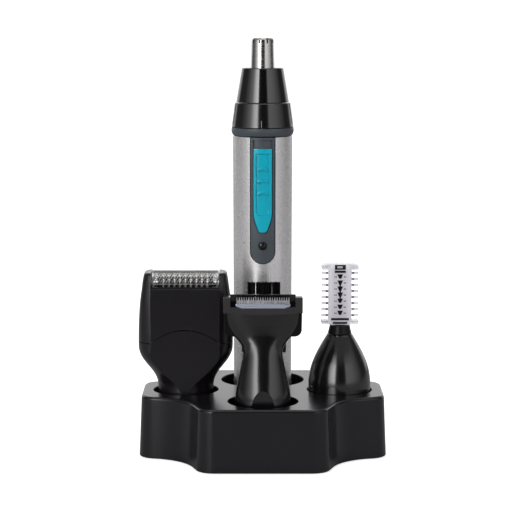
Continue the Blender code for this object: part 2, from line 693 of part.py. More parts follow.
def panel_and_switch():
    top = PANEL_TOP
    u = u_outline(PANEL_HALF, PANEL_LOW, top + 5)
    panel = curved_plate("front_panel", u, PANEL_RADIUS, PANEL_INNER, PANEL_LOW - 2, top, "slate")
    window = slider_outline(GAP, SLIDER_TOP + SLIDER_TRAVEL + GAP)
    cut(panel, slab("slider_window", window, -HANDLE_RADIUS - 4, -5.0, REAR))
    start, end = (0, -HANDLE_RADIUS - 4, LENS_Z), (0, -6, LENS_Z)
    cut(panel, rod("lens_hole", LENS_RADIUS + GAP, start, end, REAR))
    lens_front = (0, -PANEL_RADIUS - 0.1, LENS_Z)
    rod("indicator_lens", LENS_RADIUS, (0, -CHASSIS_RADIUS - 0.1, LENS_Z), lens_front, REAR, "clear")

    outline = slider_outline(0.0, SLIDER_TOP)
    low, high = SLIDER_LOW - 2, SLIDER_TOP + 2
    slider = curved_plate("switch_slider", outline, SLIDER_RADIUS, PANEL_INNER, low, high, "teal")
    stem_front = -PANEL_INNER - 0.6
    face = BOARD_FRONT - GAP - 1.3 - GAP
    stem = [((-STEM_HALF, stem_front, STEM_Z - 3), (STEM_HALF, face - 0.9 - GAP, STEM_Z + 3))]
    join(slider, boxes("slider_stem", stem, REAR))
    lever = [((-1.0, face - 0.9, STEM_Z - 1.5), (1.0, face, STEM_Z + 1.5))]
    boxes("switch_lever", lever, REAR, "satin_black")

    inner = SPIGOT_RADIUS + GAP
    middle = COLLAR_BOTTOM + COLLAR_HEIGHT * 0.75
    collar = [(COLLAR_RADIUS - 0.2, COLLAR_TOP), (COLLAR_RADIUS, middle)]
    collar += [(HANDLE_RADIUS, COLLAR_BOTTOM), (inner, COLLAR_BOTTOM), (inner, COLLAR_TOP)]
    turned("collar_ring", collar, REAR, "slate", loop=True, steps=40)


# ---------------------------------------------------------------- joint that all heads share


def head_ring(name, bottom, shoulder, top_radius, place, finish):
    """The ring at the foot of a head: a bore for the handle's spigot under a web for the shaft."""
    web, top = bottom + HEAD_WEB_LOW, bottom + HEAD_RING_HEIGHT
    hole = HEAD_SHAFT + TURNING_GAP
    profile = [(top_radius, top), (shoulder, top - 1.0), (HEAD_RADIUS, bottom + 0.4)]
    profile += [(HEAD_RADIUS - 0.4, bottom), (HEAD_BORE, bottom), (HEAD_BORE, web)]
    profile += [(hole, web), (hole, top)]
    return turned(name, profile, place, finish, loop=True)


def tang(name, bottom, place):
    low = (-TANG_HALF_X, -TANG_HALF_Y, bottom + TANG_LOW)
    high = (TANG_HALF_X, TANG_HALF_Y, bottom + HUB_LOW + 0.5)
    return boxes(name + "_tang", [(low, high)], place)


def crank(name, place):
    """The driven shaft of a reciprocating head: tang, hub, shaft, disc and an off-centre pin."""
    bottom = SEAT
    profile = [(0.0, CRANK_TOP), (CRANK_RADIUS, CRANK_TOP), (CRANK_RADIUS, CRANK_LOW)]
    profile += [(HEAD_SHAFT, CRANK_LOW), (HEAD_SHAFT, HUB_TOP), (HUB_RADIUS, HUB_TOP)]
    profile += [(HUB_RADIUS, HUB_LOW), (0.0, HUB_LOW)]
    profile = [(radius, bottom + z) for radius, z in profile]
    piece = turned(name, profile, place, "steel", steps=20)
    join(piece, tang(name, bottom, place))
    start = (CRANK_THROW, 0, bottom + CRANK_TOP - 0.5)
    end = (CRANK_THROW, 0, bottom + PIN_TOP)
    join(piece, rod(name + "_pin", PIN_RADIUS, start, end, place, segments=12))


def drive_arm(name, stem_half, head_half, head_low, top, front, back, place):
    """A flat arm with a fork round the crank pin below and a crosspiece for the blade above."""
    low, high = SEAT + FORK_LOW, SEAT + FORK_TOP
    outer = FORK_HALF + FORK_PRONG
    half = [(FORK_HALF, high), (FORK_HALF, low), (outer, low), (outer, high + 1.5)]
    half += [(stem_half, high + 4.0), (stem_half, head_low), (head_half, head_low), (head_half, top)]
    slab(name, mirrored(half), front, back, place, "nylon")


# ---------------------------------------------------------------- nose head


def nose_head():
    base = NOSE_SEAT
    head_ring("nose_base_ring", base, HEAD_SHOULDER, HEAD_TOP_RADIUS, REAR, "satin_black")
    low = base + HEAD_RING_HEIGHT + GAP
    high = low + CONE_HEIGHT
    hole = TUBE_RADIUS + GAP
    cone = [(CONE_TOP_RADIUS - 0.4, high), (CONE_TOP_RADIUS, high - 0.4)]
    cone += [(HEAD_TOP_RADIUS - 0.4, low + 1.4), (HEAD_TOP_RADIUS, low)]
    cone += [(HEAD_TOP_RADIUS - CONE_WALL, low), (CONE_TOP_RADIUS - CONE_WALL, high - 1.3)]
    cone += [(hole, high - 1.3), (hole, high)]
    turned("nose_cone", cone, REAR, "gloss_black", loop=True)

    flange = high - 1.3 - GAP
    top = high + TUBE_HEIGHT
    inner = TUBE_RADIUS - TUBE_WALL
    tube = [(0.0, top), (TUBE_TOP_RADIUS - 1.3, top), (TUBE_TOP_RADIUS - 0.5, top - 0.35)]
    tube += [(TUBE_TOP_RADIUS, top - 1.7), (TUBE_RADIUS, high + 0.9), (TUBE_RADIUS, flange)]
    tube += [(TUBE_FLANGE, flange), (TUBE_FLANGE, flange - 1.0), (inner, flange - 1.0)]
    tube += [(TUBE_TOP_RADIUS - TUBE_WALL, top - 1.7), (TUBE_TOP_RADIUS - 1.3, top - 0.9), (0.0, top - 0.9)]
    guard = turned("nose_guard_tube", tube, REAR, "steel", steps=36)
    bm = bmesh.new()
    for i in range(TUBE_SLOTS):
        angle = 2 * math.pi * (i + 0.35) / TUBE_SLOTS
        spin = Matrix.Rotation(angle, 4, "Z")
        size = Matrix.Diagonal((4.0 * MM, TUBE_SLOT * MM, 2 * TUBE_SLOT_DEPTH * MM, 1.0))
        out = Matrix.Translation((4.1 * MM, 0.0, top * MM))
        bmesh.ops.create_cube(bm, size=1.0, matrix=spin @ out @ size)
    cut(guard, from_bmesh("guard_slots", bm, REAR))

    ring("nose_bush", inner - GAP, HEAD_SHAFT + GAP, flange - 1.5, flange + 3.0, REAR, "nylon", steps=24)
    shaft_low = base + HUB_LOW + GAP + 0.2
    blade = disc("nose_cutter_blade", HEAD_SHAFT, shaft_low, top - 2.4, REAR, "steel", steps=20)
    reach = TUBE_TOP_RADIUS - TUBE_WALL - TURNING_GAP
    low_corner, high_corner = (-reach, -0.35, top - 7.5), (reach, 0.35, top - 1.9)
    join(blade, boxes("cutter_wings", [(low_corner, high_corner)], REAR))
    hub = [(HEAD_SHAFT + GAP, HUB_TOP), (HUB_RADIUS, HUB_TOP), (HUB_RADIUS, HUB_LOW - 0.3), (0.0, HUB_LOW - 0.3)]
    hub = [(0.0, HUB_LOW + 0.2), (HEAD_SHAFT + GAP, HUB_LOW + 0.2)] + hub
    dog = turned("nose_driven_dog", [(r, base + z) for r, z in hub], REAR, "nylon", steps=24)
    tool_low = (-TANG_HALF_X, -TANG_HALF_Y, base + TANG_LOW)
    tool_high = (TANG_HALF_X, TANG_HALF_Y, base + HUB_LOW - 0.1)
    join(dog, boxes("nose_tang", [(tool_low, tool_high)], REAR))
    low, high = COLLAR_TOP + GAP, COLLAR_TOP + 6.5
    ring("nose_lock_ring", HEAD_BORE - GAP, SPIGOT_RADIUS + GAP, low, high, REAR, "nylon", steps=28)


# ---------------------------------------------------------------- foil shaver head


def seam_height(x):
    return SEAM_Z + SEAM_RISE * max(0.0, 1 - (x / SEAM_HALF) ** 2)


def seam_side(name, shift, far):
    """A cutter with the seam's curve on one side and a level edge at the far height."""
    wide = SHAVER_HALF_X + 4
    steps = 16
    xs = [-wide + 2 * wide * i / steps for i in range(steps + 1)]
    outline = [(x, seam_height(x) + shift) for x in xs] + [(wide, far), (-wide, far)]
    return slab(name, outline, -20, 20, LEFT)


def shaver_sections():
    """Levels of the body, each with its half width, half depth and squareness."""
    wide = SHAVER_HALF_X
    foot = LOOSE_TOP_RADIUS
    share = SHAVER_HEIGHT / 62.6
    levels = [
        (0.0, foot, foot - 0.1, 2.0),
        (10.5, foot - 0.17, foot - 0.2, 2.05),
        (14.5, foot + 0.1, foot - 0.2, 2.15),
        (17.1, foot + 1.0, foot - 0.3, 2.3),
        (19.8, foot + 2.65, foot - 0.4, 2.6),
        (22.4, wide - 3.45, foot - 0.6, 3.0),
        (25.0, wide - 1.55, foot - 0.8, 3.5),
        (27.7, wide - 0.35, foot - 1.0, 4.0),
        (30.3, wide, foot - 1.2, 4.4),
        (38.2, wide - 0.1, foot - 1.7, 4.8),
        (48.7, wide - 0.7, foot - 2.6, 5.0),
        (59.1, wide - 2.0, foot - 3.5, 5.0),
        (61.7, wide - 2.45, foot - 4.0, 5.0),
        (62.6, wide - 3.3, foot - 4.8, 5.0),
    ]
    return [(BODY_FOOT + level * share, *rest) for level, *rest in levels]


def shaver_shell(name, cutter):
    sections = shaver_sections()
    shell = oval_skin(name, sections, LEFT, "satin_black")
    inside = [(sections[0][0] - 1.0, *sections[0][1:])] + sections[1:11] + [(NOTCH_FLOOR + 1.0, *sections[10][1:])]
    cut(shell, oval_skin(name + "_hollow", inside, LEFT, inset=SHAVER_WALL))
    low, high = (-EAR_INNER, -15, NOTCH_FLOOR), (EAR_INNER, 15, SHAVER_TOP + 3)
    cut(shell, boxes(name + "_notch", [(low, high)], LEFT))
    cut(shell, cutter)


def foil_arch(half_y, rise, steps=16):
    return [(half_y * math.cos(math.pi * i / steps), rise * math.sin(math.pi * i / steps)) for i in range(steps + 1)]


def shaver_head():
    head_ring("shaver_base_ring", SEAT, HEAD_SHOULDER, LOOSE_TOP_RADIUS, LEFT, "satin_black")
    shaver_shell("shaver_lower_shell", seam_side("above_seam", -GAP / 2, SHAVER_TOP + 5))
    shaver_shell("shaver_upper_shell", seam_side("below_seam", GAP / 2, 0.0))

    half_x = EAR_INNER - GAP
    frame_low = NOTCH_FLOOR + GAP
    frame = boxes(
        "foil_frame",
        [((-half_x, -FRAME_HALF_Y, frame_low), (half_x, FRAME_HALF_Y, FOIL_BASE - GAP))],
        LEFT,
        "satin_black",
    )
    opening_x, opening_y = half_x - 1.0, FOIL_HALF_Y - 0.5
    window = ((-opening_x, -opening_y, frame_low - 1), (opening_x, opening_y, FOIL_BASE + 1))
    cut(frame, boxes("frame_window", [window], LEFT))

    bm = bmesh.new()
    sides = []
    for x in (-half_x, half_x):
        points = foil_arch(FOIL_HALF_Y, FOIL_RISE)
        sides.append([bm.verts.new((x * MM, y * MM, (FOIL_BASE + z) * MM)) for y, z in points])
    for i in range(len(sides[0]) - 1):
        bm.faces.new((sides[0][i], sides[1][i], sides[1][i + 1], sides[0][i + 1]))
    foil = from_bmesh("shaver_foil", bm, LEFT, "steel")
    wall = foil.modifiers.new("Wall", "SOLIDIFY")
    wall.thickness = FOIL_THICK * MM
    wall.offset = -1.0

    half_x = opening_x - BLADE_STROKE - 0.4
    depth, rise = FOIL_HALF_Y - 0.9, FOIL_RISE - 0.8
    bm = bmesh.new()
    size = Matrix.Diagonal((2 * half_x, depth, rise, 1.0))
    turn = Matrix.Rotation(math.pi / 2, 4, "Y")
    bmesh.ops.create_cone(bm, cap_ends=True, segments=20, radius1=1.0, radius2=1.0, depth=1.0, matrix=size @ turn)
    bmesh.ops.scale(bm, vec=(MM, MM, MM), verts=bm.verts)
    bmesh.ops.translate(bm, vec=(0, 0, FOIL_BASE * MM), verts=bm.verts)
    block = from_bmesh("shaver_blade_block", bm, LEFT, "steel")
    pitch = 2 * half_x / (CUTTER_BLADES + 1)
    slots = []
    for i in range(CUTTER_BLADES):
        x = -half_x + pitch * (i + 1)
        slots.append(((x - 0.5, -8, FOIL_BASE - 0.5), (x + 0.5, 8, FOIL_BASE + 9)))
    cut(block, boxes("blade_slots", slots, LEFT))

    arm_top = FOIL_BASE - rise - GAP
    drive_arm("shaver_drive_arm", 2.0, 8.0, arm_top - 2.5, arm_top, -1.0, 1.0, LEFT)
    crank("shaver_crank", LEFT)


# ---------------------------------------------------------------- precision head


def comb_blade(half, low, root, tip, teeth):
    """A blade outline with square teeth along its upper edge."""
    pitch = 2 * half / (2 * teeth - 1)
    outline = [(-half, low), (half, low)]
    for i in range(teeth):
        right = half - 2 * i * pitch
        outline += [(right, tip), (right - pitch, tip)]
        if i < teeth - 1:
            outline += [(right - pitch, root), (right - 2 * pitch, root)]
    return outline


def precision_sections():
    """Levels of the waisted body up to the blade holder, each with its half sizes and squareness."""
    foot = LOOSE_TOP_RADIUS
    share = (T_LOW - GAP - BODY_FOOT) / 37.9
    levels = [
        (0.0, foot, foot, 2.0),
        (11.0, foot - 0.35, foot - 0.9, 2.0),
        (14.4, foot - 0.65, foot - 1.4, 2.05),
        (18.7, foot - 1.45, foot - 2.3, 2.15),
        (23.0, foot - 2.35, foot - 3.3, 2.3),
        (27.2, foot - 3.2, foot - 4.3, 2.4),
        (31.5, 8.1, 6.9, 2.5),
        (34.0, 9.1, 6.3, 2.7),
        (36.6, 10.7, 5.9, 3.2),
        (37.9, 12.2, 5.6, 4.0),
    ]
    return [(BODY_FOOT + level * share, *rest) for level, *rest in levels]


def precision_head():
    head_ring("precision_base_ring", SEAT, HEAD_SHOULDER, LOOSE_TOP_RADIUS, FRONT, "satin_black")
    sections = precision_sections()
    body = oval_skin("precision_body", sections, FRONT, "gloss_black")
    inside = [(sections[0][0] - 1, *sections[0][1:])] + sections[1:-1]
    inside += [(T_LOW + 1, *sections[-1][1:])]
    cut(body, oval_skin("precision_hollow", inside, FRONT, inset=1.5))

    lower_right = arc((T_HALF - T_CORNER - 0.7, T_LOW + T_CORNER), T_CORNER, -90, 0)
    outline = mirrored(lower_right + [(T_HALF, T_LOW + 8), (T_HALF, T_TOP)])
    block = slab("precision_blade_holder", outline, -T_DEPTH, T_DEPTH, FRONT, "gloss_black")
    pocket = ((-T_POCKET, -T_DEPTH - 1, T_FLOOR), (T_POCKET, T_DEPTH - 2.2, T_TOP + 1))
    cut(block, boxes("blade_pocket", [pocket], FRONT))
    passage = ((-6.5, -2.6, T_LOW - 1), (6.5, 0.8, T_FLOOR + 1))
    cut(block, boxes("arm_passage", [passage], FRONT))

    low = T_FLOOR + GAP
    front = -T_DEPTH + 1.3
    fixed = comb_blade(BLADE_HALF, low, T_TOP - 1.4, T_TOP - 0.1, BLADE_TEETH)
    slab("precision_fixed_blade", fixed, front, front + PLATE_THICK, FRONT, "steel")
    front += PLATE_THICK + GAP
    moving = comb_blade(BLADE_HALF - 0.9, low, T_TOP - 1.5, T_TOP - 0.6, BLADE_TEETH - 2)
    slab("precision_moving_blade", moving, front, front + PLATE_THICK, FRONT, "steel")
    clamp = [(BLADE_HALF - 0.9, T_TOP - 4.4), (BLADE_HALF + 0.35, T_TOP - 3.6), (BLADE_HALF + 0.35, T_TOP - 2.5)]
    clamp = mirrored(clamp)
    slab("precision_blade_clamp", clamp, -T_DEPTH + 0.1, -T_DEPTH + 1.0, FRONT, "steel")
    arm_front = front + PLATE_THICK + GAP
    drive_arm("precision_drive_arm", 1.6, 5.0, T_FLOOR - 3, T_FLOOR + 3.5, arm_front, arm_front + 2.0, FRONT)
    crank("precision_crank", FRONT)


# ---------------------------------------------------------------- eyebrow head


def side_comb(half, stem, low, root_low, top, teeth):
    """A tall blade outline with teeth along both sides above its stem."""
    pitch = (top - root_low) / (2 * teeth - 1)
    right = [(stem, low), (stem, root_low)]
    for i in range(teeth):
        z = root_low + 2 * i * pitch
        right += [(half, z), (half, z + pitch)]
        if i < teeth - 1:
            right += [(half - 0.9, z + pitch), (half - 0.9, z + 2 * pitch)]
    return mirrored(right)


def bell_profile():
    """The bell's outer side from the top down, then its inner side back up."""
    wide = BELL_RADIUS
    share = (BELL_TOP - BODY_FOOT) / 34.8
    outer = [(5.2, 34.8), (6.55, 32.9), (8.0, 30.3), (wide - 4.0, 27.7), (wide - 2.75, 25.0), (wide - 1.7, 22.4)]
    outer += [(wide - 0.9, 19.8), (wide - 0.4, 17.1), (wide - 0.1, 14.5), (wide, 11.8), (wide, 0.0)]
    wall = BELL_WALL
    inner = [(wide - wall, 0.0), (wide - wall, 11.8), (wide - 0.9 - wall, 18.3)]
    inner += [(wide - 4.0 - wall, 26.2), (6.3 - wall, 31.8), (BELL_MOUTH, 32.8), (BELL_MOUTH, 34.8)]
    return [(radius, BODY_FOOT + level * share) for radius, level in outer + inner]


def comb_guard():
    base = NECK_TOP + GAP
    wide, deep = COMB_COLUMN, COMB_DEPTH
    guard = boxes("comb_guard", [((-wide, -deep, base), (wide, deep, COMB_TOP - 0.2))], RIGHT, "clear")
    arch = arc((COMB_HALF - 2.0, COMB_TOP - 2.6), 2.0, 0, 90, 5)
    cap = mirrored(arch[:-1] + [(wide, COMB_TOP)])
    join(guard, slab("comb_cap", cap, -deep + 0.2, deep - 0.2, RIGHT))
    plates = [((-COMB_HALF, -deep + 0.3, base + 0.3), (COMB_HALF, deep - 0.3, base + 1.9))]
    tooth_low = [base + 3.4 + COMB_PITCH * i for i in range(COMB_TEETH)]
    for z in tooth_low:
        plates.append(((-COMB_HALF, -deep + 1.2, z), (COMB_HALF, deep - 1.2, z + COMB_TOOTH)))
    join(guard, boxes("comb_teeth", plates, RIGHT))
    inner_x, inner_y = wide - COMB_WALL, deep - COMB_WALL
    cavity = ((-inner_x, -inner_y, base - 1), (inner_x, inner_y, COMB_TOP - 1.5))
    cut(guard, boxes("comb_cavity", [cavity], RIGHT))
    windows = []
    for z in tooth_low:
        windows.append(((-2.3, -deep - 1, z + COMB_TOOTH), (2.3, deep + 1, z + COMB_PITCH)))
    cut(guard, boxes("comb_windows", windows, RIGHT))


def eyebrow_head():
    head_ring("eyebrow_base_ring", SEAT, BELL_RADIUS + 0.05, BELL_RADIUS - 0.4, RIGHT, "satin_black")
    turned("eyebrow_body", bell_profile(), RIGHT, "gloss_black", loop=True)
    low, high = BELL_TOP + GAP, NECK_TOP
    hole = BELL_MOUTH - 0.4
    neck = [(4.3, high), (5.15, low), (hole, low), (hole, high)]
    turned("eyebrow_neck", neck, RIGHT, "satin_black", loop=True, steps=24)

    blade_low, root, top = BELL_TOP - 2.0, NECK_TOP + 3.0, COMB_TOP - 2.6
    fixed = side_comb(3.2, 2.2, blade_low, root, top, 10)
    slab("eyebrow_fixed_blade", fixed, -1.5, -1.5 + PLATE_THICK, RIGHT, "steel")
    front = -1.5 + PLATE_THICK + GAP
    moving = side_comb(3.0, 2.0, blade_low + LIFT_STROKE, root + 0.4, top - LIFT_STROKE, 10)
    slab("eyebrow_moving_blade", moving, front, front + PLATE_THICK, RIGHT, "steel")
    arm_front = front + PLATE_THICK + GAP
    arm_top = NECK_TOP + 0.5
    drive_arm("eyebrow_drive_arm", 1.5, 1.8, arm_top - 4.0, arm_top, arm_front, arm_front + 1.4, RIGHT)
    crank("eyebrow_crank", RIGHT)
    comb_guard()


def main():
    clear_scene()
    stand_shell()
    stand_base()
    brush()
    handle_shell()
    handle_inside()
    motor()
    panel_and_switch()
    nose_head()
    shaver_head()
    precision_head()
    eyebrow_head()


main()
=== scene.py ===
"""Looks of the grooming set: a silver handle, four clip-on heads and a brush in a black stand."""

import math

import bmesh
import bpy
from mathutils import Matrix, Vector


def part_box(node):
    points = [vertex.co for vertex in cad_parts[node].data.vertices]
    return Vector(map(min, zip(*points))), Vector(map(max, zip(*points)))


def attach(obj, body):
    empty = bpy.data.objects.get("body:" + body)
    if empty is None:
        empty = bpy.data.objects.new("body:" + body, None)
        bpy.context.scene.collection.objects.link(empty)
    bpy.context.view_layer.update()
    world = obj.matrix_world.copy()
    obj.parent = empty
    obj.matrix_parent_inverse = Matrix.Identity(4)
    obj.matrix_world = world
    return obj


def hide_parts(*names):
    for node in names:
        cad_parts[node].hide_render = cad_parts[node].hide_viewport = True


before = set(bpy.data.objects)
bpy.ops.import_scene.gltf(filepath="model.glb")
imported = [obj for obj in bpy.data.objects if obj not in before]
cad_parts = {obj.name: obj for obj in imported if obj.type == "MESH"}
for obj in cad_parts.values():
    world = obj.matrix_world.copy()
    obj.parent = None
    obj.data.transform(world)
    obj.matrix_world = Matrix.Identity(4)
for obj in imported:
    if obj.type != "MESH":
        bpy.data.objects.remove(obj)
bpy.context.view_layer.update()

MM = 0.001
TIDY = 1e-6
MANY_FACES = 40000

# ---------------------------------------------------------------- places, read from the frame


def low(node):
    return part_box(node)[0]


def high(node):
    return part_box(node)[1]


def middle(node):
    """The upright axis of a node, as (x, y)."""
    lowest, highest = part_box(node)
    return (lowest.x + highest.x) / 2, (lowest.y + highest.y) / 2


def half_width(node):
    lowest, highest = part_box(node)
    return (highest.x - lowest.x) / 2


HANDLE = middle("handle_bottom_cap")
SHAVER = middle("shaver_base_ring")
PRECISION = middle("precision_base_ring")
EYEBROW = middle("eyebrow_base_ring")
BRUSH = middle("brush_handle")

# ---------------------------------------------------------------- modelling by hand


def deselect():
    if bpy.context.mode != "OBJECT":
        bpy.ops.object.mode_set(mode="OBJECT")
    bpy.ops.object.select_all(action="DESELECT")


def pick(piece):
    deselect()
    piece.select_set(True)
    bpy.context.view_layer.objects.active = piece


def edit(piece):
    pick(piece)
    bpy.ops.object.mode_set(mode="EDIT")


def draw(points, closed):
    """Draw a line from point to point and leave it selected in edit mode."""
    deselect()
    bpy.ops.mesh.primitive_plane_add(size=MM, location=(0, 0, 0))
    piece = bpy.context.object
    bpy.ops.object.mode_set(mode="EDIT")
    bpy.ops.mesh.merge(type="CENTER")
    bpy.ops.transform.translate(value=points[0])
    path = list(points) + ([points[0]] if closed else [])
    for here, there in zip(path, path[1:]):
        step = Vector(there) - Vector(here)
        bpy.ops.mesh.extrude_vertices_move(TRANSFORM_OT_translate={"value": step})
    bpy.ops.mesh.select_all(action="SELECT")
    bpy.ops.mesh.remove_doubles(threshold=TIDY)
    return piece


def turned(profile, axis, steps=96, closed=True):
    """Spin a profile of (radius, height) points about an upright axis."""
    points = [(axis[0] + radius, axis[1], height) for radius, height in profile]
    piece = draw(points, closed)
    centre = (axis[0], axis[1], 0.0)
    bpy.ops.mesh.spin(steps=steps, angle=2 * math.pi, center=centre, axis=(0, 0, 1))
    bpy.ops.mesh.select_all(action="SELECT")
    bpy.ops.mesh.remove_doubles(threshold=TIDY)
    bpy.ops.mesh.normals_make_consistent(inside=False)
    deselect()
    return piece


def slab(outline, front, back, axis=(0.0, 0.0)):
    """A flat outline of (x, z) points about an axis, made thick from front to back."""
    piece = draw([(axis[0] + x, axis[1] + front, z) for x, z in outline], True)
    bpy.ops.mesh.edge_face_add()
    bpy.ops.mesh.extrude_region_move(TRANSFORM_OT_translate={"value": (0, back - front, 0)})
    bpy.ops.mesh.select_all(action="SELECT")
    bpy.ops.mesh.normals_make_consistent(inside=False)
    deselect()
    return piece


def loft(levels, axis=(0.0, 0.0)):
    """Raise a ring of points through levels given as (height, points), and close both ends."""
    count = len(levels[0][1])
    deselect()
    bpy.ops.mesh.primitive_circle_add(
        vertices=count, radius=MM, fill_type="NOTHING", location=(axis[0], axis[1], levels[0][0])
    )
    piece = bpy.context.object
    bpy.ops.object.transform_apply(location=True)
    bpy.ops.object.mode_set(mode="EDIT")
    bpy.ops.mesh.select_all(action="SELECT")
    last = levels[0][0]
    for level, (height, points) in enumerate(levels):
        if level:
            up = {"value": (0, 0, height - last)}
            bpy.ops.mesh.extrude_region_move(TRANSFORM_OT_translate=up)
        last = height
        mesh = bmesh.from_edit_mesh(piece.data)
        ring = [v for v in mesh.verts if v.select]
        ring.sort(key=lambda v: math.atan2(v.co.y - axis[1], v.co.x - axis[0]))
        around = sorted(points, key=lambda p: math.atan2(p[1], p[0]))
        for vert, (x, y) in zip(ring, around):
            vert.co = (axis[0] + x, axis[1] + y, height)
        if level == 0:
            bpy.ops.mesh.edge_face_add()
        bmesh.update_edit_mesh(piece.data)
    bpy.ops.mesh.edge_face_add()
    bpy.ops.mesh.select_all(action="SELECT")
    bpy.ops.mesh.normals_make_consistent(inside=False)
    deselect()
    return piece


def block(lowest, highest):
    """A box between two corners."""
    deselect()
    lowest, highest = Vector(lowest), Vector(highest)
    bpy.ops.mesh.primitive_cube_add(size=1, location=(lowest + highest) / 2, scale=highest - lowest)
    piece = bpy.context.object
    bpy.ops.object.transform_apply(location=True, rotation=True, scale=True)
    return piece


def centred(x, half, depths, heights):
    """A box that reaches half each way from x, between two depths and two heights."""
    return block((x - half, depths[0], heights[0]), (x + half, depths[1], heights[1]))


def bar(radius, start, end, sides=24, top=None):
    """A round bar between two points, which may taper."""
    start, end = Vector(start), Vector(end)
    along = end - start
    deselect()
    bpy.ops.mesh.primitive_cone_add(
        vertices=sides,
        radius1=radius,
        radius2=radius if top is None else top,
        depth=along.length,
        location=(start + end) / 2,
        rotation=along.to_track_quat("Z", "Y").to_euler(),
    )
    piece = bpy.context.object
    bpy.ops.object.transform_apply(location=True, rotation=True, scale=True)
    return piece


def apply_last(piece):
    bpy.ops.object.modifier_apply(modifier=piece.modifiers[-1].name)


def boolean(piece, tool, operation="DIFFERENCE"):
    pick(piece)
    bpy.ops.object.modifier_add(type="BOOLEAN")
    step = piece.modifiers[-1]
    step.operation = operation
    step.solver = "EXACT"
    step.object = tool
    apply_last(piece)
    bpy.data.objects.remove(tool, do_unlink=True)
    return piece


def weld(piece, tool):
    return boolean(piece, tool, "UNION")


def keep(piece, tool):
    return boolean(piece, tool, "INTERSECT")


def join(pieces):
    """Several loose meshes made one object."""
    deselect()
    for piece in pieces:
        piece.select_set(True)
    bpy.context.view_layer.objects.active = pieces[0]
    bpy.ops.object.join()
    return pieces[0]


def round_edges(piece, width, segments=3, angle=30):
    pick(piece)
    bpy.ops.object.modifier_add(type="BEVEL")
    step = piece.modifiers[-1]
    step.width = width
    step.segments = segments
    step.limit_method = "ANGLE"
    step.angle_limit = math.radians(angle)
    step.use_clamp_overlap = True
    apply_last(piece)
    return piece


def soften(piece, voxel, passes):
    """Remesh finely and smooth, for the soft edges of a moulding."""
    pick(piece)
    bpy.ops.object.modifier_add(type="REMESH")
    step = piece.modifiers[-1]
    step.mode = "VOXEL"
    step.voxel_size = voxel
    apply_last(piece)
    bpy.ops.object.modifier_add(type="SMOOTH")
    step = piece.modifiers[-1]
    step.factor = 0.5
    step.iterations = passes
    apply_last(piece)
    return piece


def slice_off(piece, point, normal):
    """Cut away everything on the normal's side of a plane and close the cut."""
    edit(piece)
    bpy.ops.mesh.select_all(action="SELECT")
    bpy.ops.mesh.bisect(
        plane_co=point, plane_no=normal, use_fill=True, clear_outer=True, threshold=TIDY
    )
    deselect()
    return piece


def done(piece, name, finish, body, slot, *nodes, angle=32):
    """Finish a piece: shade it, paint it, and say what it is and what it rides on."""
    pick(piece)
    bpy.ops.object.transform_apply(location=True, rotation=True, scale=True)
    bpy.ops.object.shade_smooth_by_angle(angle=math.radians(angle))
    if len(piece.data.polygons) < MANY_FACES:
        bpy.ops.object.modifier_add(type="WEIGHTED_NORMAL")
        piece.modifiers[-1].keep_sharp = True
        apply_last(piece)
    piece.name = piece.data.name = name
    piece.data.materials.clear()
    piece.data.materials.append(finish)
    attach(piece, body)
    if nodes:
        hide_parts(*nodes)
    return piece


# ---------------------------------------------------------------- outlines


def arc(centre, radius, start, end, steps):
    """Points along an arc, with angles in degrees."""
    angles = [math.radians(start + (end - start) * i / steps) for i in range(steps + 1)]
    return [(centre[0] + radius * math.cos(a), centre[1] + radius * math.sin(a)) for a in angles]


def oval(half_x, half_y, squareness, count=96):
    """A superellipse: squareness 2 is round, and more is nearer to a rectangle."""
    power = 2.0 / squareness
    points = []
    for i in range(count):
        angle = 2 * math.pi * (i + 0.5) / count
        c, s = math.cos(angle), math.sin(angle)
        x = half_x * math.copysign(abs(c) ** power, c)
        y = half_y * math.copysign(abs(s) ** power, s)
        points.append((x, y))
    return points


def smooth_between(stations, steps):
    """Fill in rows of numbers between stations with a smooth curve through them all."""
    rows = []
    for i in range(len(stations) - 1):
        before, a = stations[max(i - 1, 0)], stations[i]
        b, after = stations[i + 1], stations[min(i + 2, len(stations) - 1)]
        for k in range(steps):
            t = k / steps
            row = [a[0] + (b[0] - a[0]) * t]
            for p, q, r, s in list(zip(before, a, b, after))[1:]:
                curve = 2 * q + (r - p) * t + (2 * p - 5 * q + 4 * r - s) * t**2
                row.append((curve + (3 * q - p - 3 * r + s) * t**3) / 2)
            rows.append(tuple(row))
    return rows + [tuple(stations[-1])]


def oval_levels(foot, rows):
    """Smooth levels for a loft from rows of (height, half width, half depth, squareness) in mm."""
    rows = [(height * MM, a * MM, b * MM, n) for height, a, b, n in rows]
    return [(foot + height, oval(a, b, n)) for height, a, b, n in smooth_between(rows, 4)]


def mirrored(half):
    """A closed outline from its right half, which is listed upwards."""
    return list(half) + [(-x, z) for x, z in reversed(half)]


def rounded(corners, steps):
    """An outline from corners given as (point, radius), each replaced by its arc."""
    outline = []
    count = len(corners)
    for i, (corner, radius) in enumerate(corners):
        corner = Vector(corner)
        to_last = (Vector(corners[i - 1][0]) - corner).normalized()
        to_next = (Vector(corners[(i + 1) % count][0]) - corner).normalized()
        half = to_last.angle(to_next) / 2
        centre = corner + (to_last + to_next).normalized() * radius / math.sin(half)
        start = corner + to_last * radius / math.tan(half) - centre
        end = corner + to_next * radius / math.tan(half) - centre
        first = math.degrees(math.atan2(start.y, start.x))
        sweep = (math.degrees(math.atan2(end.y, end.x)) - first + 180) % 360 - 180
        outline += arc(centre, radius, first, first + sweep, steps)
    return outline


# ---------------------------------------------------------------- finishes


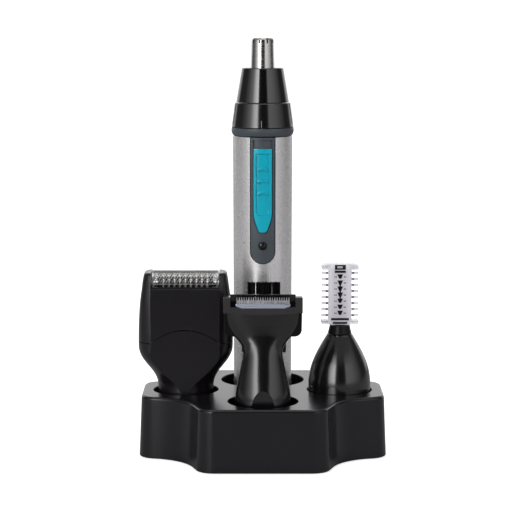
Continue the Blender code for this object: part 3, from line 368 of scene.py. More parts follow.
def new_group(name, inputs, outputs):
    """An empty shader group with named sockets."""
    group = bpy.data.node_groups.new(name, "ShaderNodeTree")
    for label, value in inputs:
        socket = group.interface.new_socket(label, in_out="INPUT", socket_type="NodeSocketFloat")
        socket.default_value = value
    for label in outputs:
        group.interface.new_socket(label, in_out="OUTPUT", socket_type="NodeSocketFloat")
    return group, group.nodes.new("NodeGroupInput"), group.nodes.new("NodeGroupOutput")


def calculate(tree, operation, first, second, clamp=False):
    """A Math node between two sockets or numbers."""
    node = tree.nodes.new("ShaderNodeMath")
    node.operation = operation
    node.use_clamp = clamp
    for socket, value in zip(node.inputs, (first, second)):
        if isinstance(value, (int, float)):
            socket.default_value = value
        else:
            tree.links.new(value, socket)
    return node.outputs[0]


def make_grain():
    """Fine moulded grain over slow mottling."""
    inputs = [("Scale", 1800.0), ("Slow Scale", 60.0)]
    group, entry, out = new_group("moulded_grain", inputs, ["Fine", "Slow"])
    place = group.nodes.new("ShaderNodeTexCoord")
    for label, source, detail in (("Fine", "Scale", 3.0), ("Slow", "Slow Scale", 4.0)):
        noise = group.nodes.new("ShaderNodeTexNoise")
        noise.inputs["Detail"].default_value = detail
        group.links.new(place.outputs["Object"], noise.inputs["Vector"])
        group.links.new(entry.outputs[source], noise.inputs["Scale"])
        group.links.new(noise.outputs["Fac"], out.inputs[label])
    return group


def make_brush_marks():
    """Long fine streaks, either upright or round the axis, set by the two stretches."""
    group, entry, out = new_group(
        "brush_marks", [("Across", 2500.0), ("Along", 40.0), ("Upright", 1.0)], ["Streak"]
    )
    place = group.nodes.new("ShaderNodeTexCoord")
    scale = group.nodes.new("ShaderNodeCombineXYZ")
    across, along, upright = (entry.outputs[n] for n in ("Across", "Along", "Upright"))
    lying = calculate(group, "SUBTRACT", 1.0, upright)
    wide, long = (calculate(group, "MULTIPLY", value, upright) for value in (across, along))
    long_lying, wide_lying = (calculate(group, "MULTIPLY", value, lying) for value in (along, across))
    plan = calculate(group, "ADD", wide, long_lying)
    rise = calculate(group, "ADD", long, wide_lying)
    group.links.new(plan, scale.inputs[0])
    group.links.new(plan, scale.inputs[1])
    group.links.new(rise, scale.inputs[2])
    stretch = group.nodes.new("ShaderNodeVectorMath")
    stretch.operation = "MULTIPLY"
    group.links.new(place.outputs["Object"], stretch.inputs[0])
    group.links.new(scale.outputs[0], stretch.inputs[1])
    noise = group.nodes.new("ShaderNodeTexNoise")
    noise.inputs["Scale"].default_value = 1.0
    noise.inputs["Detail"].default_value = 2.0
    group.links.new(stretch.outputs[0], noise.inputs["Vector"])
    group.links.new(noise.outputs["Fac"], out.inputs["Streak"])
    return group


def make_edge_wear():
    """A mask of the sharp edges, where handling has rubbed them."""
    group, entry, out = new_group("edge_wear", [("Radius", 0.0003), ("Strength", 1.0)], ["Mask"])
    bevel = group.nodes.new("ShaderNodeBevel")
    bevel.samples = 4
    group.links.new(entry.outputs["Radius"], bevel.inputs["Radius"])
    shape = group.nodes.new("ShaderNodeNewGeometry")
    dot = group.nodes.new("ShaderNodeVectorMath")
    dot.operation = "DOT_PRODUCT"
    group.links.new(bevel.outputs[0], dot.inputs[0])
    group.links.new(shape.outputs["Normal"], dot.inputs[1])
    turn = calculate(group, "SUBTRACT", 1.0, dot.outputs["Value"])
    place = group.nodes.new("ShaderNodeTexCoord")
    noise = group.nodes.new("ShaderNodeTexNoise")
    noise.inputs["Scale"].default_value = 900.0
    group.links.new(place.outputs["Object"], noise.inputs["Vector"])
    worn = calculate(group, "MULTIPLY", turn, calculate(group, "MULTIPLY", noise.outputs["Fac"], 6.0))
    mask = calculate(group, "MULTIPLY", worn, entry.outputs["Strength"], clamp=True)
    group.links.new(mask, out.inputs["Mask"])
    return group


GRAIN = make_grain()
BRUSH_MARKS = make_brush_marks()
EDGE_WEAR = make_edge_wear()


def add_group(tree, group, **values):
    node = tree.nodes.new("ShaderNodeGroup")
    node.node_tree = group
    for label, value in values.items():
        node.inputs[label.replace("_", " ")].default_value = value
    return node


def ramp(tree, factor, low_value, high_value, start=0.35, end=0.65):
    """Map a factor from start..end onto low_value..high_value."""
    node = tree.nodes.new("ShaderNodeMapRange")
    node.inputs["From Min"].default_value = start
    node.inputs["From Max"].default_value = end
    node.inputs["To Min"].default_value = low_value
    node.inputs["To Max"].default_value = high_value
    tree.links.new(factor, node.inputs["Value"])
    return node.outputs["Result"]


def blend(tree, factor, first, second):
    """Mix two colours by a factor; a colour is a tuple or a socket."""
    node = tree.nodes.new("ShaderNodeMix")
    node.data_type = "RGBA"
    tree.links.new(factor, node.inputs["Factor"])
    for socket, value in ((node.inputs["A"], first), (node.inputs["B"], second)):
        if isinstance(value, tuple):
            socket.default_value = (*value, 1.0)
        else:
            tree.links.new(value, socket)
    return node.outputs["Result"]


def bump(tree, shader, height, strength, distance):
    node = tree.nodes.new("ShaderNodeBump")
    node.inputs["Strength"].default_value = strength
    node.inputs["Distance"].default_value = distance
    tree.links.new(height, node.inputs["Height"])
    tree.links.new(node.outputs[0], shader.inputs["Normal"])


def base_material(name, **constants):
    mat = bpy.data.materials.new(name)
    mat.use_nodes = True
    shader = mat.node_tree.nodes["Principled BSDF"]
    for label, value in constants.items():
        shader.inputs[label.replace("_", " ")].default_value = value
    return mat, mat.node_tree, shader


def plastic(name, dark, light, rough, grain=1800.0, relief=0.00001, wear=0.5, spread=0.06, shine=0.5):
    """A moulded plastic: two near tones, fine grain, and edges rubbed a little lighter."""
    mat, tree, shader = base_material(name, Specular_IOR_Level=shine)
    noise = add_group(tree, GRAIN, Scale=grain)
    edge = add_group(tree, EDGE_WEAR, Strength=wear)
    tone = blend(tree, ramp(tree, noise.outputs["Slow"], 0.0, 1.0), dark, light)
    rubbed = tuple(min(1.0, c * 1.6 + 0.02) for c in light)
    tree.links.new(blend(tree, edge.outputs["Mask"], tone, rubbed), shader.inputs["Base Color"])
    roughness = ramp(tree, noise.outputs["Fine"], rough - spread / 2, rough + spread / 2)
    tree.links.new(roughness, shader.inputs["Roughness"])
    bump(tree, shader, noise.outputs["Fine"], 0.5, relief / 4)
    return mat


def metal(name, dark, light, rough, upright=1.0, relief=0.000004):
    """A brushed or turned metal with fine streaks."""
    mat, tree, shader = base_material(name, Metallic=1.0)
    marks = add_group(tree, BRUSH_MARKS, Upright=upright)
    noise = add_group(tree, GRAIN)
    streak = marks.outputs["Streak"]
    tone = blend(tree, ramp(tree, streak, 0.0, 1.0), dark, light)
    smudge = ramp(tree, noise.outputs["Slow"], 0.0, 0.25, 0.5, 0.8)
    tree.links.new(blend(tree, smudge, tone, dark), shader.inputs["Base Color"])
    tree.links.new(ramp(tree, streak, rough - 0.05, rough + 0.07), shader.inputs["Roughness"])
    bump(tree, shader, streak, 0.4, relief)
    return mat


def pearl_silver():
    """The sleeve's silver: brushed upright under a fine pearl fleck."""
    mat, tree, shader = base_material("pearl_silver", Metallic=0.7)
    marks = add_group(tree, BRUSH_MARKS, Across=1400.0, Along=60.0)
    noise = add_group(tree, GRAIN, Scale=2600.0, Slow_Scale=400.0)
    streak = ramp(tree, marks.outputs["Streak"], 0.0, 1.0)
    tone = blend(tree, streak, (0.88, 0.86, 0.865), (0.9, 0.88, 0.885))
    fleck = ramp(tree, noise.outputs["Slow"], 0.0, 0.12, 0.4, 0.8)
    tree.links.new(blend(tree, fleck, tone, (0.95, 0.94, 0.95)), shader.inputs["Base Color"])
    tree.links.new(ramp(tree, noise.outputs["Slow"], 0.265, 0.275), shader.inputs["Roughness"])
    bump(tree, shader, marks.outputs["Streak"], 0.3, 0.0000006)
    return mat


def clear_plastic():
    """Clear moulding that glows a little in its own pale tone: painted light that brightens it, though it
    is no lamp.
    """
    # Painted light: this emission strength makes the clear moulding glow.
    glow = 0.09
    mat, tree, shader = base_material(
        "clear_moulding", Transmission_Weight=0.55, IOR=1.49, Emission_Strength=glow
    )
    noise = add_group(tree, GRAIN, Scale=900.0)
    tone = blend(tree, ramp(tree, noise.outputs["Slow"], 0.0, 1.0), (0.93, 0.91, 0.97), (0.98, 0.96, 1.0))
    tree.links.new(tone, shader.inputs["Base Color"])
    tree.links.new(tone, shader.inputs["Emission Color"])
    tree.links.new(ramp(tree, noise.outputs["Fine"], 0.1, 0.18), shader.inputs["Roughness"])
    bump(tree, shader, noise.outputs["Slow"], 0.3, 0.00002)
    return mat


def solder_mask():
    """Green board lacquer with pale tracks."""
    mat, tree, shader = base_material("board_lacquer")
    place = tree.nodes.new("ShaderNodeTexCoord")
    tracks = tree.nodes.new("ShaderNodeTexBrick")
    tracks.inputs["Scale"].default_value = 260.0
    tree.links.new(place.outputs["Object"], tracks.inputs["Vector"])
    noise = add_group(tree, GRAIN)
    mask = calculate(tree, "MULTIPLY", tracks.outputs["Fac"], 0.6)
    tree.links.new(blend(tree, mask, (0.012, 0.11, 0.04), (0.08, 0.3, 0.13)), shader.inputs["Base Color"])
    tree.links.new(ramp(tree, noise.outputs["Fine"], 0.3, 0.45), shader.inputs["Roughness"])
    return mat


SATIN_BLACK = plastic(
    "satin_black_moulding",
    (0.004, 0.0036, 0.0044),
    (0.0058, 0.0052, 0.0062),
    0.38,
    relief=0.00002,
    shine=0.25,
)
STAND_BLACK = plastic(
    "stand_moulding", (0.006, 0.005, 0.007), (0.0074, 0.0062, 0.0086), 0.24, relief=0.000002, spread=0.03
)
SHAVER_BLACK = plastic(
    "shaver_moulding",
    (0.0068, 0.0054, 0.0076),
    (0.0084, 0.0068, 0.0094),
    0.24,
    relief=0.000002,
    spread=0.03,
)
SLATE = plastic("slate_moulding", (0.075, 0.09, 0.105), (0.09, 0.106, 0.124), 0.38, shine=0.35)
TEAL = plastic("teal_moulding", (0.0, 0.5, 0.66), (0.0, 0.53, 0.7), 0.16, relief=0.000001, wear=0.0)
NYLON = plastic("natural_nylon", (0.62, 0.61, 0.56), (0.72, 0.71, 0.66), 0.5, wear=0.2)
RUBBER = plastic("foot_rubber", (0.012,) * 3, (0.02,) * 3, 0.8, grain=1200.0, relief=0.00004)
SMOKED = plastic("smoked_lens", (0.012, 0.012, 0.014), (0.02, 0.02, 0.023), 0.09, wear=0.0, spread=0.02)
MARK = plastic("pale_print", (0.2, 0.2, 0.21), (0.26, 0.26, 0.27), 0.45)
CELL_WRAP = plastic("cell_wrap", (0.03, 0.2, 0.09), (0.04, 0.25, 0.12), 0.3)
BRISTLE = plastic(
    "black_bristle",
    (0.0012, 0.0012, 0.0014),
    (0.002, 0.002, 0.0022),
    0.4,
    grain=4000.0,
    wear=0.0,
    shine=0.15,
)
WING_BLACK = plastic(
    "wing_satin", (0.003, 0.0028, 0.0032), (0.004, 0.0037, 0.0042), 0.3, relief=0.000002, shine=0.2
)
END_BLACK = plastic(
    "end_satin", (0.03, 0.026, 0.028), (0.036, 0.031, 0.033), 0.4, relief=0.000002, shine=0.4
)


def gloss(name, dark, light, rough, relief, spread, shine):
    """A polished black moulding, hardly worn at its edges."""
    return plastic(name, dark, light, rough, relief=relief, wear=0.2, spread=spread, shine=shine)


GLOSS_BLACK = gloss(
    "polished_black", (0.003, 0.003, 0.0035), (0.004, 0.004, 0.0045), 0.12, 0.000001, 0.03, 1.0
)
GLOSS_RING = gloss("ring_black", (0.0035, 0.0035, 0.004), (0.005, 0.005, 0.0055), 0.17, 0.000002, 0.03, 0.9)
GLOSS_BODY = gloss(
    "body_black", (0.003, 0.0028, 0.0035), (0.0042, 0.004, 0.0048), 0.19, 0.000002, 0.04, 0.8
)
GLOSS_BELL = gloss("bell_black", (0.004, 0.004, 0.0045), (0.006, 0.006, 0.0065), 0.17, 0.000002, 0.03, 0.9)
POLISHED = metal("polished_steel", (0.5, 0.485, 0.48), (0.6, 0.585, 0.58), 0.17, 0.0, 0.000002)
BLADE_STEEL = metal("blade_steel", (0.66, 0.66, 0.68), (0.8, 0.8, 0.82), 0.27)
FOIL_STEEL = metal("foil_steel", (0.4, 0.39, 0.385), (0.56, 0.55, 0.54), 0.3)
DARK_STEEL = metal("dark_steel", (0.012, 0.012, 0.014), (0.03, 0.03, 0.034), 0.35)
CLAMP_STEEL = metal("blued_steel", (0.62, 0.68, 0.82), (0.74, 0.8, 0.94), 0.3, 0.0)
SILVER = pearl_silver()
CLEAR = clear_plastic()
BOARD = solder_mask()

FINISH_OF = {
    SATIN_BLACK: ["stand_base_plate", "handle_chassis", "foil_frame", "switch_lever"],
    RUBBER: ["stand_foot_1", "stand_foot_2", "stand_foot_3", "stand_foot_4"],
    POLISHED: ["motor_shaft", "nose_cutter_blade", "battery_spring", "charging_socket", "motor_can"],
    BLADE_STEEL: ["slide_switch", "shaver_crank", "precision_crank", "eyebrow_crank"],
    DARK_STEEL: ["shaver_blade_block"],
    NYLON: ["battery_holder_lower", "battery_holder_upper", "motor_holder", "drive_coupler", "nose_bush"]
    + ["nose_driven_dog", "nose_lock_ring", "shaver_drive_arm", "precision_drive_arm", "eyebrow_drive_arm"],
    CLEAR: ["charge_led"],
    BOARD: ["circuit_board"],
    CELL_WRAP: ["battery_cell"],
}


def paint_frame():
    """Give the frame's own parts their finishes."""
    for finish, names in FINISH_OF.items():
        for name in names:
            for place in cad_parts[name].material_slots:
                place.material = finish


# ---------------------------------------------------------------- stand

STAND_DRAFT = 1.0 * MM
STAND_WALL = 2.4 * MM
STAND_EDGE = 1.2 * MM
MOUTH_EDGE = 0.4 * MM
CUP_WALL = 2.0 * MM
CUP_BASE = 1.5 * MM
HANDLE_MOUTH_DEPTH = 10.0 * MM


def stand_outline(inset):
    """The wavy outline of the stand, moved inwards by the inset."""
    half_x, half_y = half_width("stand_shell"), high("stand_shell").y
    quarter = [
        ((half_x, 17.9 * MM), 8.0 * MM),
        ((33.65 * MM, 21.8 * MM), 22.0 * MM),
        ((25.95 * MM, half_y), 8.0 * MM),
    ]
    half = quarter + [((-x, y), r) for (x, y), r in reversed(quarter)]
    points = rounded(half + [((-x, -y), r) for (x, y), r in half], 12)
    moved = []
    for i, point in enumerate(points):
        ahead = Vector(points[(i + 1) % len(points)]) - Vector(points[i - 1])
        inward = Vector((-ahead.y, ahead.x)).normalized()
        moved.append(tuple(Vector(point) + inward * inset))
    return moved


def socket(stand, axis, mouth, floor, bore=None):
    """Hang a round cup under the stand's top and open it, with a rounded mouth."""
    top = high("stand_shell").z
    bore = bore or mouth
    step = top - HANDLE_MOUTH_DEPTH if bore != mouth else floor + MM
    skin = top - STAND_WALL / 2
    cup = [(0, skin), (mouth + CUP_WALL, skin), (mouth + CUP_WALL, step - CUP_WALL)]
    cup += [(bore + CUP_WALL, step - CUP_WALL), (bore + CUP_WALL, floor - CUP_BASE), (0, floor - CUP_BASE)]
    weld(stand, turned(cup, axis, closed=False))
    edge = arc((mouth + MOUTH_EDGE, top - MOUTH_EDGE), MOUTH_EDGE, 90, 180, 4)
    space = [(0, top + MM), (mouth + MOUTH_EDGE, top + MM)] + edge
    space += [(mouth, step), (bore, step), (bore, floor), (0, floor)]
    return turned(space, axis, closed=False)


def make_stand():
    bottom, top = low("stand_shell").z, high("stand_shell").z
    levels = [(bottom, stand_outline(0.3 * MM)), (bottom + 0.3 * MM, stand_outline(0))]
    for i in range(5):
        angle = math.radians(22.5 * i)
        inset = STAND_DRAFT + STAND_EDGE * (1 - math.cos(angle))
        levels.append((top - STAND_EDGE + STAND_EDGE * math.sin(angle), stand_outline(inset)))
    stand = loft(levels)
    inside = stand_outline(STAND_DRAFT + STAND_WALL)
    boolean(stand, loft([(bottom - MM, inside), (top - STAND_WALL, inside)]))
    floor = low("brush_handle").z - 0.3 * MM
    ring, sleeve = half_width("shaver_base_ring"), half_width("handle_sleeve")
    spaces = [
        socket(stand, HANDLE, sleeve + 5.3 * MM, floor, sleeve + 0.5 * MM),
        socket(stand, PRECISION, ring + 1.13 * MM, floor),
        socket(stand, SHAVER, ring + 0.5 * MM, floor),
        socket(stand, EYEBROW, ring + 0.5 * MM, floor),
    ]
    x, y = BRUSH
    half_x, half_y = 5.0 * MM, 2.0 * MM
    cup_y = half_y + CUP_WALL
    weld(
        stand,
        centred(x, half_x + CUP_WALL, (y - cup_y, y + cup_y), (floor - CUP_BASE, top - STAND_WALL / 2)),
    )
    for space in spaces:
        boolean(stand, space)
    slot = centred(x, half_x, (y - half_y, y + half_y), (floor, top + MM))
    boolean(stand, round_edges(slot, 0.6 * MM, 3, 80))
    done(stand, "stand_body", STAND_BLACK, "stand", "black_plastic", "stand_shell")


# ---------------------------------------------------------------- brush


TUFT_LEAN = (-0.1 * MM, 0.12 * MM, -0.08 * MM, -0.1 * MM)


def make_brush():
    x, y = BRUSH
    base, top = low("brush_bristles").z, high("brush_bristles").z
    half_x = half_width("brush_bristles")
    strands = []
    tufts, rows, columns = 4, 4, 5
    reach = half_x - 0.6 * MM
    for tuft in range(tufts):
        centre = (tuft - (tufts - 1) / 2) * (2 * half_x - 4.1 * MM) / (tufts - 1)
        for i in range(columns):
            for j in range(rows):
                dx = (i - (columns - 1) / 2) / columns * 2.75 * MM
                dy = (j - (rows - 1) / 2) / rows * 2.0 * MM
                wobble = math.sin(7.3 * i + 3.1 * j + 5.7 * tuft)
                lean = 0.22 * dx + 0.16 * MM * wobble + TUFT_LEAN[tuft]
                tip_x = max(-reach, min(reach, centre + dx + lean * 1.25))
                tip = (x + tip_x, y + dy * 1.35, top - 0.35 * MM - 0.3 * MM * abs(wobble))
                strands.append(bar(0.3 * MM, (x + centre + dx, y + dy, base + MM), tip, 6, 0.26 * MM))
    strip = centred(x, half_x, (y - 1.7 * MM, y + 1.7 * MM), (base, base + 1.4 * MM))
    bristles = join([round_edges(strip, 0.25 * MM)] + strands)
    done(bristles, "brush_tufts", BRISTLE, "brush", "bristle_nylon", "brush_bristles")

    bottom, highest = low("brush_handle").z, high("brush_handle").z
    stem = centred(x, 4.5 * MM, (y - 1.5 * MM, y + 1.5 * MM), (bottom, 46.0 * MM))
    round_edges(stem, 0.5 * MM)
    half_x, half_y = half_width("brush_handle"), 2.6 * MM
    shoulder = 43.7 * MM
    head = centred(x, half_x, (y - half_y, y + half_y), (shoulder, highest))
    round_edges(head, 0.8 * MM)
    weld(stem, head)
    groove = centred(x, 8.0 * MM, (y - 2.05 * MM, y + 2.05 * MM), (49.7 * MM, highest + MM))
    boolean(stem, groove)
    done(stem, "brush_grip", SATIN_BLACK, "brush", "black_plastic", "brush_handle")


# ---------------------------------------------------------------- handle

GAP = 0.3 * MM
PANEL_HALF = 5.15 * MM
PANEL_GAP = 0.4 * MM
TRACK_FLOOR = 1.05 * MM


def u_outline(half, bottom, top):
    """A strip with a round lower end and a square upper end."""
    return arc((0.0, bottom + half), half, -180, 0, 32) + [(half, top), (-half, top)]


def slider_outline(grow, bottom, top):
    """The switch's outline: straight sides that curve in to a blunt tip."""
    half, tip = 4.0 * MM + grow, 1.75 * MM + grow
    bottom -= grow
    right = [(tip - 0.55 * MM, bottom), (tip, bottom + 0.4 * MM)]
    for i in range(1, 10):
        share = i / 10
        x = tip + (half - tip) * math.sin(share * math.pi / 2)
        right.append((x, bottom + (0.4 + 8.6 * share) * MM))
    return mirrored(right + [(half, bottom + 9.0 * MM), (half, top)])


def front_slab(outline, depth):
    """An outline cut right through the front of the handle, from the depth outwards."""
    return slab(outline, -20 * MM, -depth, HANDLE)


def tube_wall(outer, inner, bottom, top, steps=160):
    return turned([(outer, top), (outer, bottom), (inner, bottom), (inner, top)], HANDLE, steps)


def make_sleeve():
    bottom, top = low("handle_sleeve").z, high("handle_sleeve").z
    outer = half_width("handle_sleeve")
    foot = outer - 0.3 * MM
    wall, edge = 0.9 * MM, 0.15 * MM
    profile = [(outer - edge, top), (outer, top - edge), (foot, bottom + edge), (foot - edge, bottom)]
    profile += [(foot - wall, bottom), (outer - wall, top)]
    sleeve = turned(profile, HANDLE, 160)
    foot_z = low("front_panel").z
    notch = u_outline(PANEL_HALF + PANEL_GAP, foot_z - PANEL_GAP, top + 2 * MM)
    boolean(sleeve, front_slab(notch, 5 * MM))
    done(sleeve, "silver_sleeve", SILVER, "handle", "silver_sleeve", "handle_sleeve")

    # A dark ring laid in the narrow gap round the slate panel: painted shade, a dark sheet standing in for
    # the shadow in that gap.
    play = 0.03 * MM
    hem = PANEL_GAP - play
    gap_shade = tube_wall(outer - 0.12 * MM, outer - 0.8 * MM, foot_z - 2 * MM, top - 0.1 * MM)
    keep(gap_shade, front_slab(u_outline(PANEL_HALF + hem, foot_z - hem, top + 2 * MM), 5 * MM))
    boolean(gap_shade, front_slab(u_outline(PANEL_HALF + play, foot_z - play, top + 3 * MM), 4 * MM))
    done(gap_shade, "panel_gap_shade", WING_BLACK, "handle", "black_plastic")

    bottom, top = low("handle_bottom_cap").z, bottom - GAP
    wide = half_width("handle_bottom_cap")
    highest = high("handle_bottom_cap").z
    spigot = foot - wall - GAP
    cap = [(spigot, highest), (spigot, top), (wide - edge, top), (wide, top - edge)]
    cap += arc((wide - 1.2 * MM, bottom + 1.2 * MM), 1.2 * MM, 0, -90, 8)
    cap += [(2.8 * MM, bottom), (2.6 * MM, bottom + 0.2 * MM), (2.6 * MM, bottom + 2.0 * MM)]
    cap += [(spigot - 1.4 * MM, bottom + 2.0 * MM), (spigot - 1.4 * MM, highest)]
    cap = turned(cap, HANDLE, 128)
    done(cap, "bottom_cap", SATIN_BLACK, "handle", "black_plastic", "handle_bottom_cap")


def core(radius, top, steps):
    """A solid round bar about the handle's axis, from the floor up."""
    return turned([(0, top), (radius, top), (radius, 0), (0, 0)], HANDLE, steps, False)


def make_panel():
    bottom, top = low("front_panel").z, high("front_panel").z
    outer = HANDLE[1] - low("front_panel").y
    inner = 11.6 * MM
    panel = tube_wall(outer, inner, bottom - 2 * MM, top)
    keep(panel, front_slab(u_outline(PANEL_HALF, bottom, top + 5 * MM), 5 * MM))
    tip, slider_top = low("switch_slider").z, high("switch_slider").z
    track = front_slab(slider_outline(GAP, tip, slider_top + 3.9 * MM), 5 * MM)
    boolean(track, core(inner + 0.5 * MM, top + 20 * MM, 96))
    boolean(panel, track)
    stem_z = tip + 17.0 * MM
    stem_y = (HANDLE[1] - 14 * MM, HANDLE[1] - 5 * MM)
    boolean(panel, centred(HANDLE[0], 2.2 * MM, stem_y, (stem_z - 3.6 * MM, stem_z + 7.7 * MM)))
    lens_z = (low("indicator_lens").z + high("indicator_lens").z) / 2
    radius = half_width("indicator_lens")
    ahead, inside = (HANDLE[0], HANDLE[1] - 20 * MM, lens_z), (HANDLE[0], HANDLE[1] - 5 * MM, lens_z)
    boolean(panel, bar(radius + 0.2 * MM, ahead, inside, 48))
    done(panel, "slate_panel", SLATE, "handle", "slate_plastic", "front_panel", angle=24)

    face = HANDLE[1] - low("indicator_lens").y
    dish = face - 0.25 * MM
    rim = [(0, 6 * MM), (radius, 6 * MM), (radius, face - 0.1 * MM), (radius - 0.1 * MM, face)]
    rim += [(radius - 0.35 * MM, face), (radius - 0.45 * MM, dish)]
    rim += [(radius * share, dish + 0.22 * MM * math.cos(share * 1.9)) for share in (0.6, 0.4, 0.2)]
    lens = turned(rim + [(0, face - 0.03 * MM)], (0, 0), 64, False)
    lens.location = (HANDLE[0], HANDLE[1], lens_z)
    lens.rotation_euler = (math.pi / 2, 0, 0)
    done(lens, "indicator_window", SMOKED, "handle", "clear_plastic", "indicator_lens")


def ridge(height):
    """A low bar across the thumb rest, arched upwards."""
    points = arc((0.0, height - 2.6 * MM), 3.4 * MM, 132, 48, 14)
    outline = points + [(x * 0.9, z - 0.95 * MM) for x, z in reversed(points)]
    return outline


def make_switch():
    tip, top = low("switch_slider").z, high("switch_slider").z
    outer = HANDLE[1] - low("switch_slider").y
    inner = 12.35 * MM
    slider = tube_wall(outer, inner, tip - 2 * MM, top + 2 * MM)
    keep(slider, front_slab(slider_outline(0.0, tip, top), 5 * MM))
    rest = u_outline(2.95 * MM, top - 29.2 * MM, top - 2.5 * MM)
    hollow = front_slab(rest, 5 * MM)
    floor = outer - 0.85 * MM
    boolean(hollow, core(floor, 1, 128))
    boolean(slider, hollow)
    soften(slider, 0.1 * MM, 3)
    crown = outer - 0.1 * MM
    for drop in (8.9, 14.1, 19.3):
        bump_bar = tube_wall(crown, inner + 0.4 * MM, top - (drop + 4) * MM, top - (drop - 4) * MM)
        keep(bump_bar, front_slab(ridge(top - drop * MM), 5 * MM))
        weld(slider, bump_bar)
    groove = front_slab(mirrored([(3.0 * MM, top - 2.8 * MM), (3.0 * MM, top - 2.1 * MM)]), 5 * MM)
    boolean(groove, core(floor, 1, 128))
    boolean(slider, groove)
    soften(slider, 0.08 * MM, 2)
    stem_z = tip + 17.0 * MM
    x, y = HANDLE
    stem_y = (y - inner - 0.2 * MM, high("switch_slider").y)
    stem = centred(x, 1.6 * MM, stem_y, (stem_z - 3 * MM, stem_z + 3 * MM))
    slider = join([slider, stem])
    done(slider, "teal_switch", TEAL, "switch", "teal_plastic", "switch_slider", angle=50)


def make_collar():
    bottom, top = low("collar_ring").z, low("nose_base_ring").z - 0.12 * MM
    wide = half_width("collar_ring")
    neck = half_width("handle_sleeve")
    hole = half_width("nose_lock_ring") - 1.3 * MM
    profile = [(hole, top), (wide - 0.35 * MM, top), (wide - 0.12 * MM, top - 0.12 * MM)]
    profile += [(wide, top - 0.45 * MM), (wide, top - 1.5 * MM), (wide - 0.1 * MM, top - 2.0 * MM)]
    profile += [(wide - 0.36 * MM, top - 2.7 * MM), (neck, bottom + 0.1 * MM)]
    profile += [(neck - 0.2 * MM, bottom), (hole, bottom)]
    done(turned(profile, HANDLE, 160), "collar", SLATE, "handle", "slate_plastic", "collar_ring")


# ---------------------------------------------------------------- rings at the foot of each head


def ring_profile(node, wide, shoulder, top_radius):
    bottom, top = low(node).z, high(node).z
    bore, web = 11.2 * MM, bottom + 9.3 * MM
    profile = [(top_radius - 0.15 * MM, top), (top_radius, top - 0.15 * MM), (shoulder, top - 1.0 * MM)]
    profile += [(wide, bottom + 0.5 * MM), (wide - 0.12 * MM, bottom + 0.15 * MM)]
    profile += [(wide - 0.4 * MM, bottom), (bore, bottom), (bore, web), (1.3 * MM, web), (1.3 * MM, top)]
    return profile


def taper_profile(node, wide, crown):
    """A straight-sided ring with a crisp upper edge."""
    bottom, top = low(node).z, high(node).z
    bore, web = 11.2 * MM, bottom + 9.0 * MM
    profile = [(crown - 0.2 * MM, top), (crown, top - 0.2 * MM), (wide, bottom + 0.25 * MM)]
    profile += [(wide - 0.2 * MM, bottom), (bore, bottom), (bore, web - MM), (bore - MM, web)]
    return profile + [(1.3 * MM, web), (1.3 * MM, top)]


def make_rings():
    for name, axis, body in (("shaver", SHAVER, "shaver_head"), ("precision", PRECISION, "precision_head")):
        node = name + "_base_ring"
        wide = half_width(node)
        profile = ring_profile(node, wide, wide - 1.24 * MM, wide - 1.47 * MM)
        done(turned(profile, axis, 128), name + "_ring", SATIN_BLACK, body, "black_plastic", node)
    node = "eyebrow_base_ring"
    wide = half_width(node)
    profile = ring_profile(node, wide, wide - 0.07 * MM, wide - 0.52 * MM)
    done(turned(profile, EYEBROW, 128), "eyebrow_ring", SATIN_BLACK, "eyebrow_head", "black_plastic", node)


# ---------------------------------------------------------------- nose head


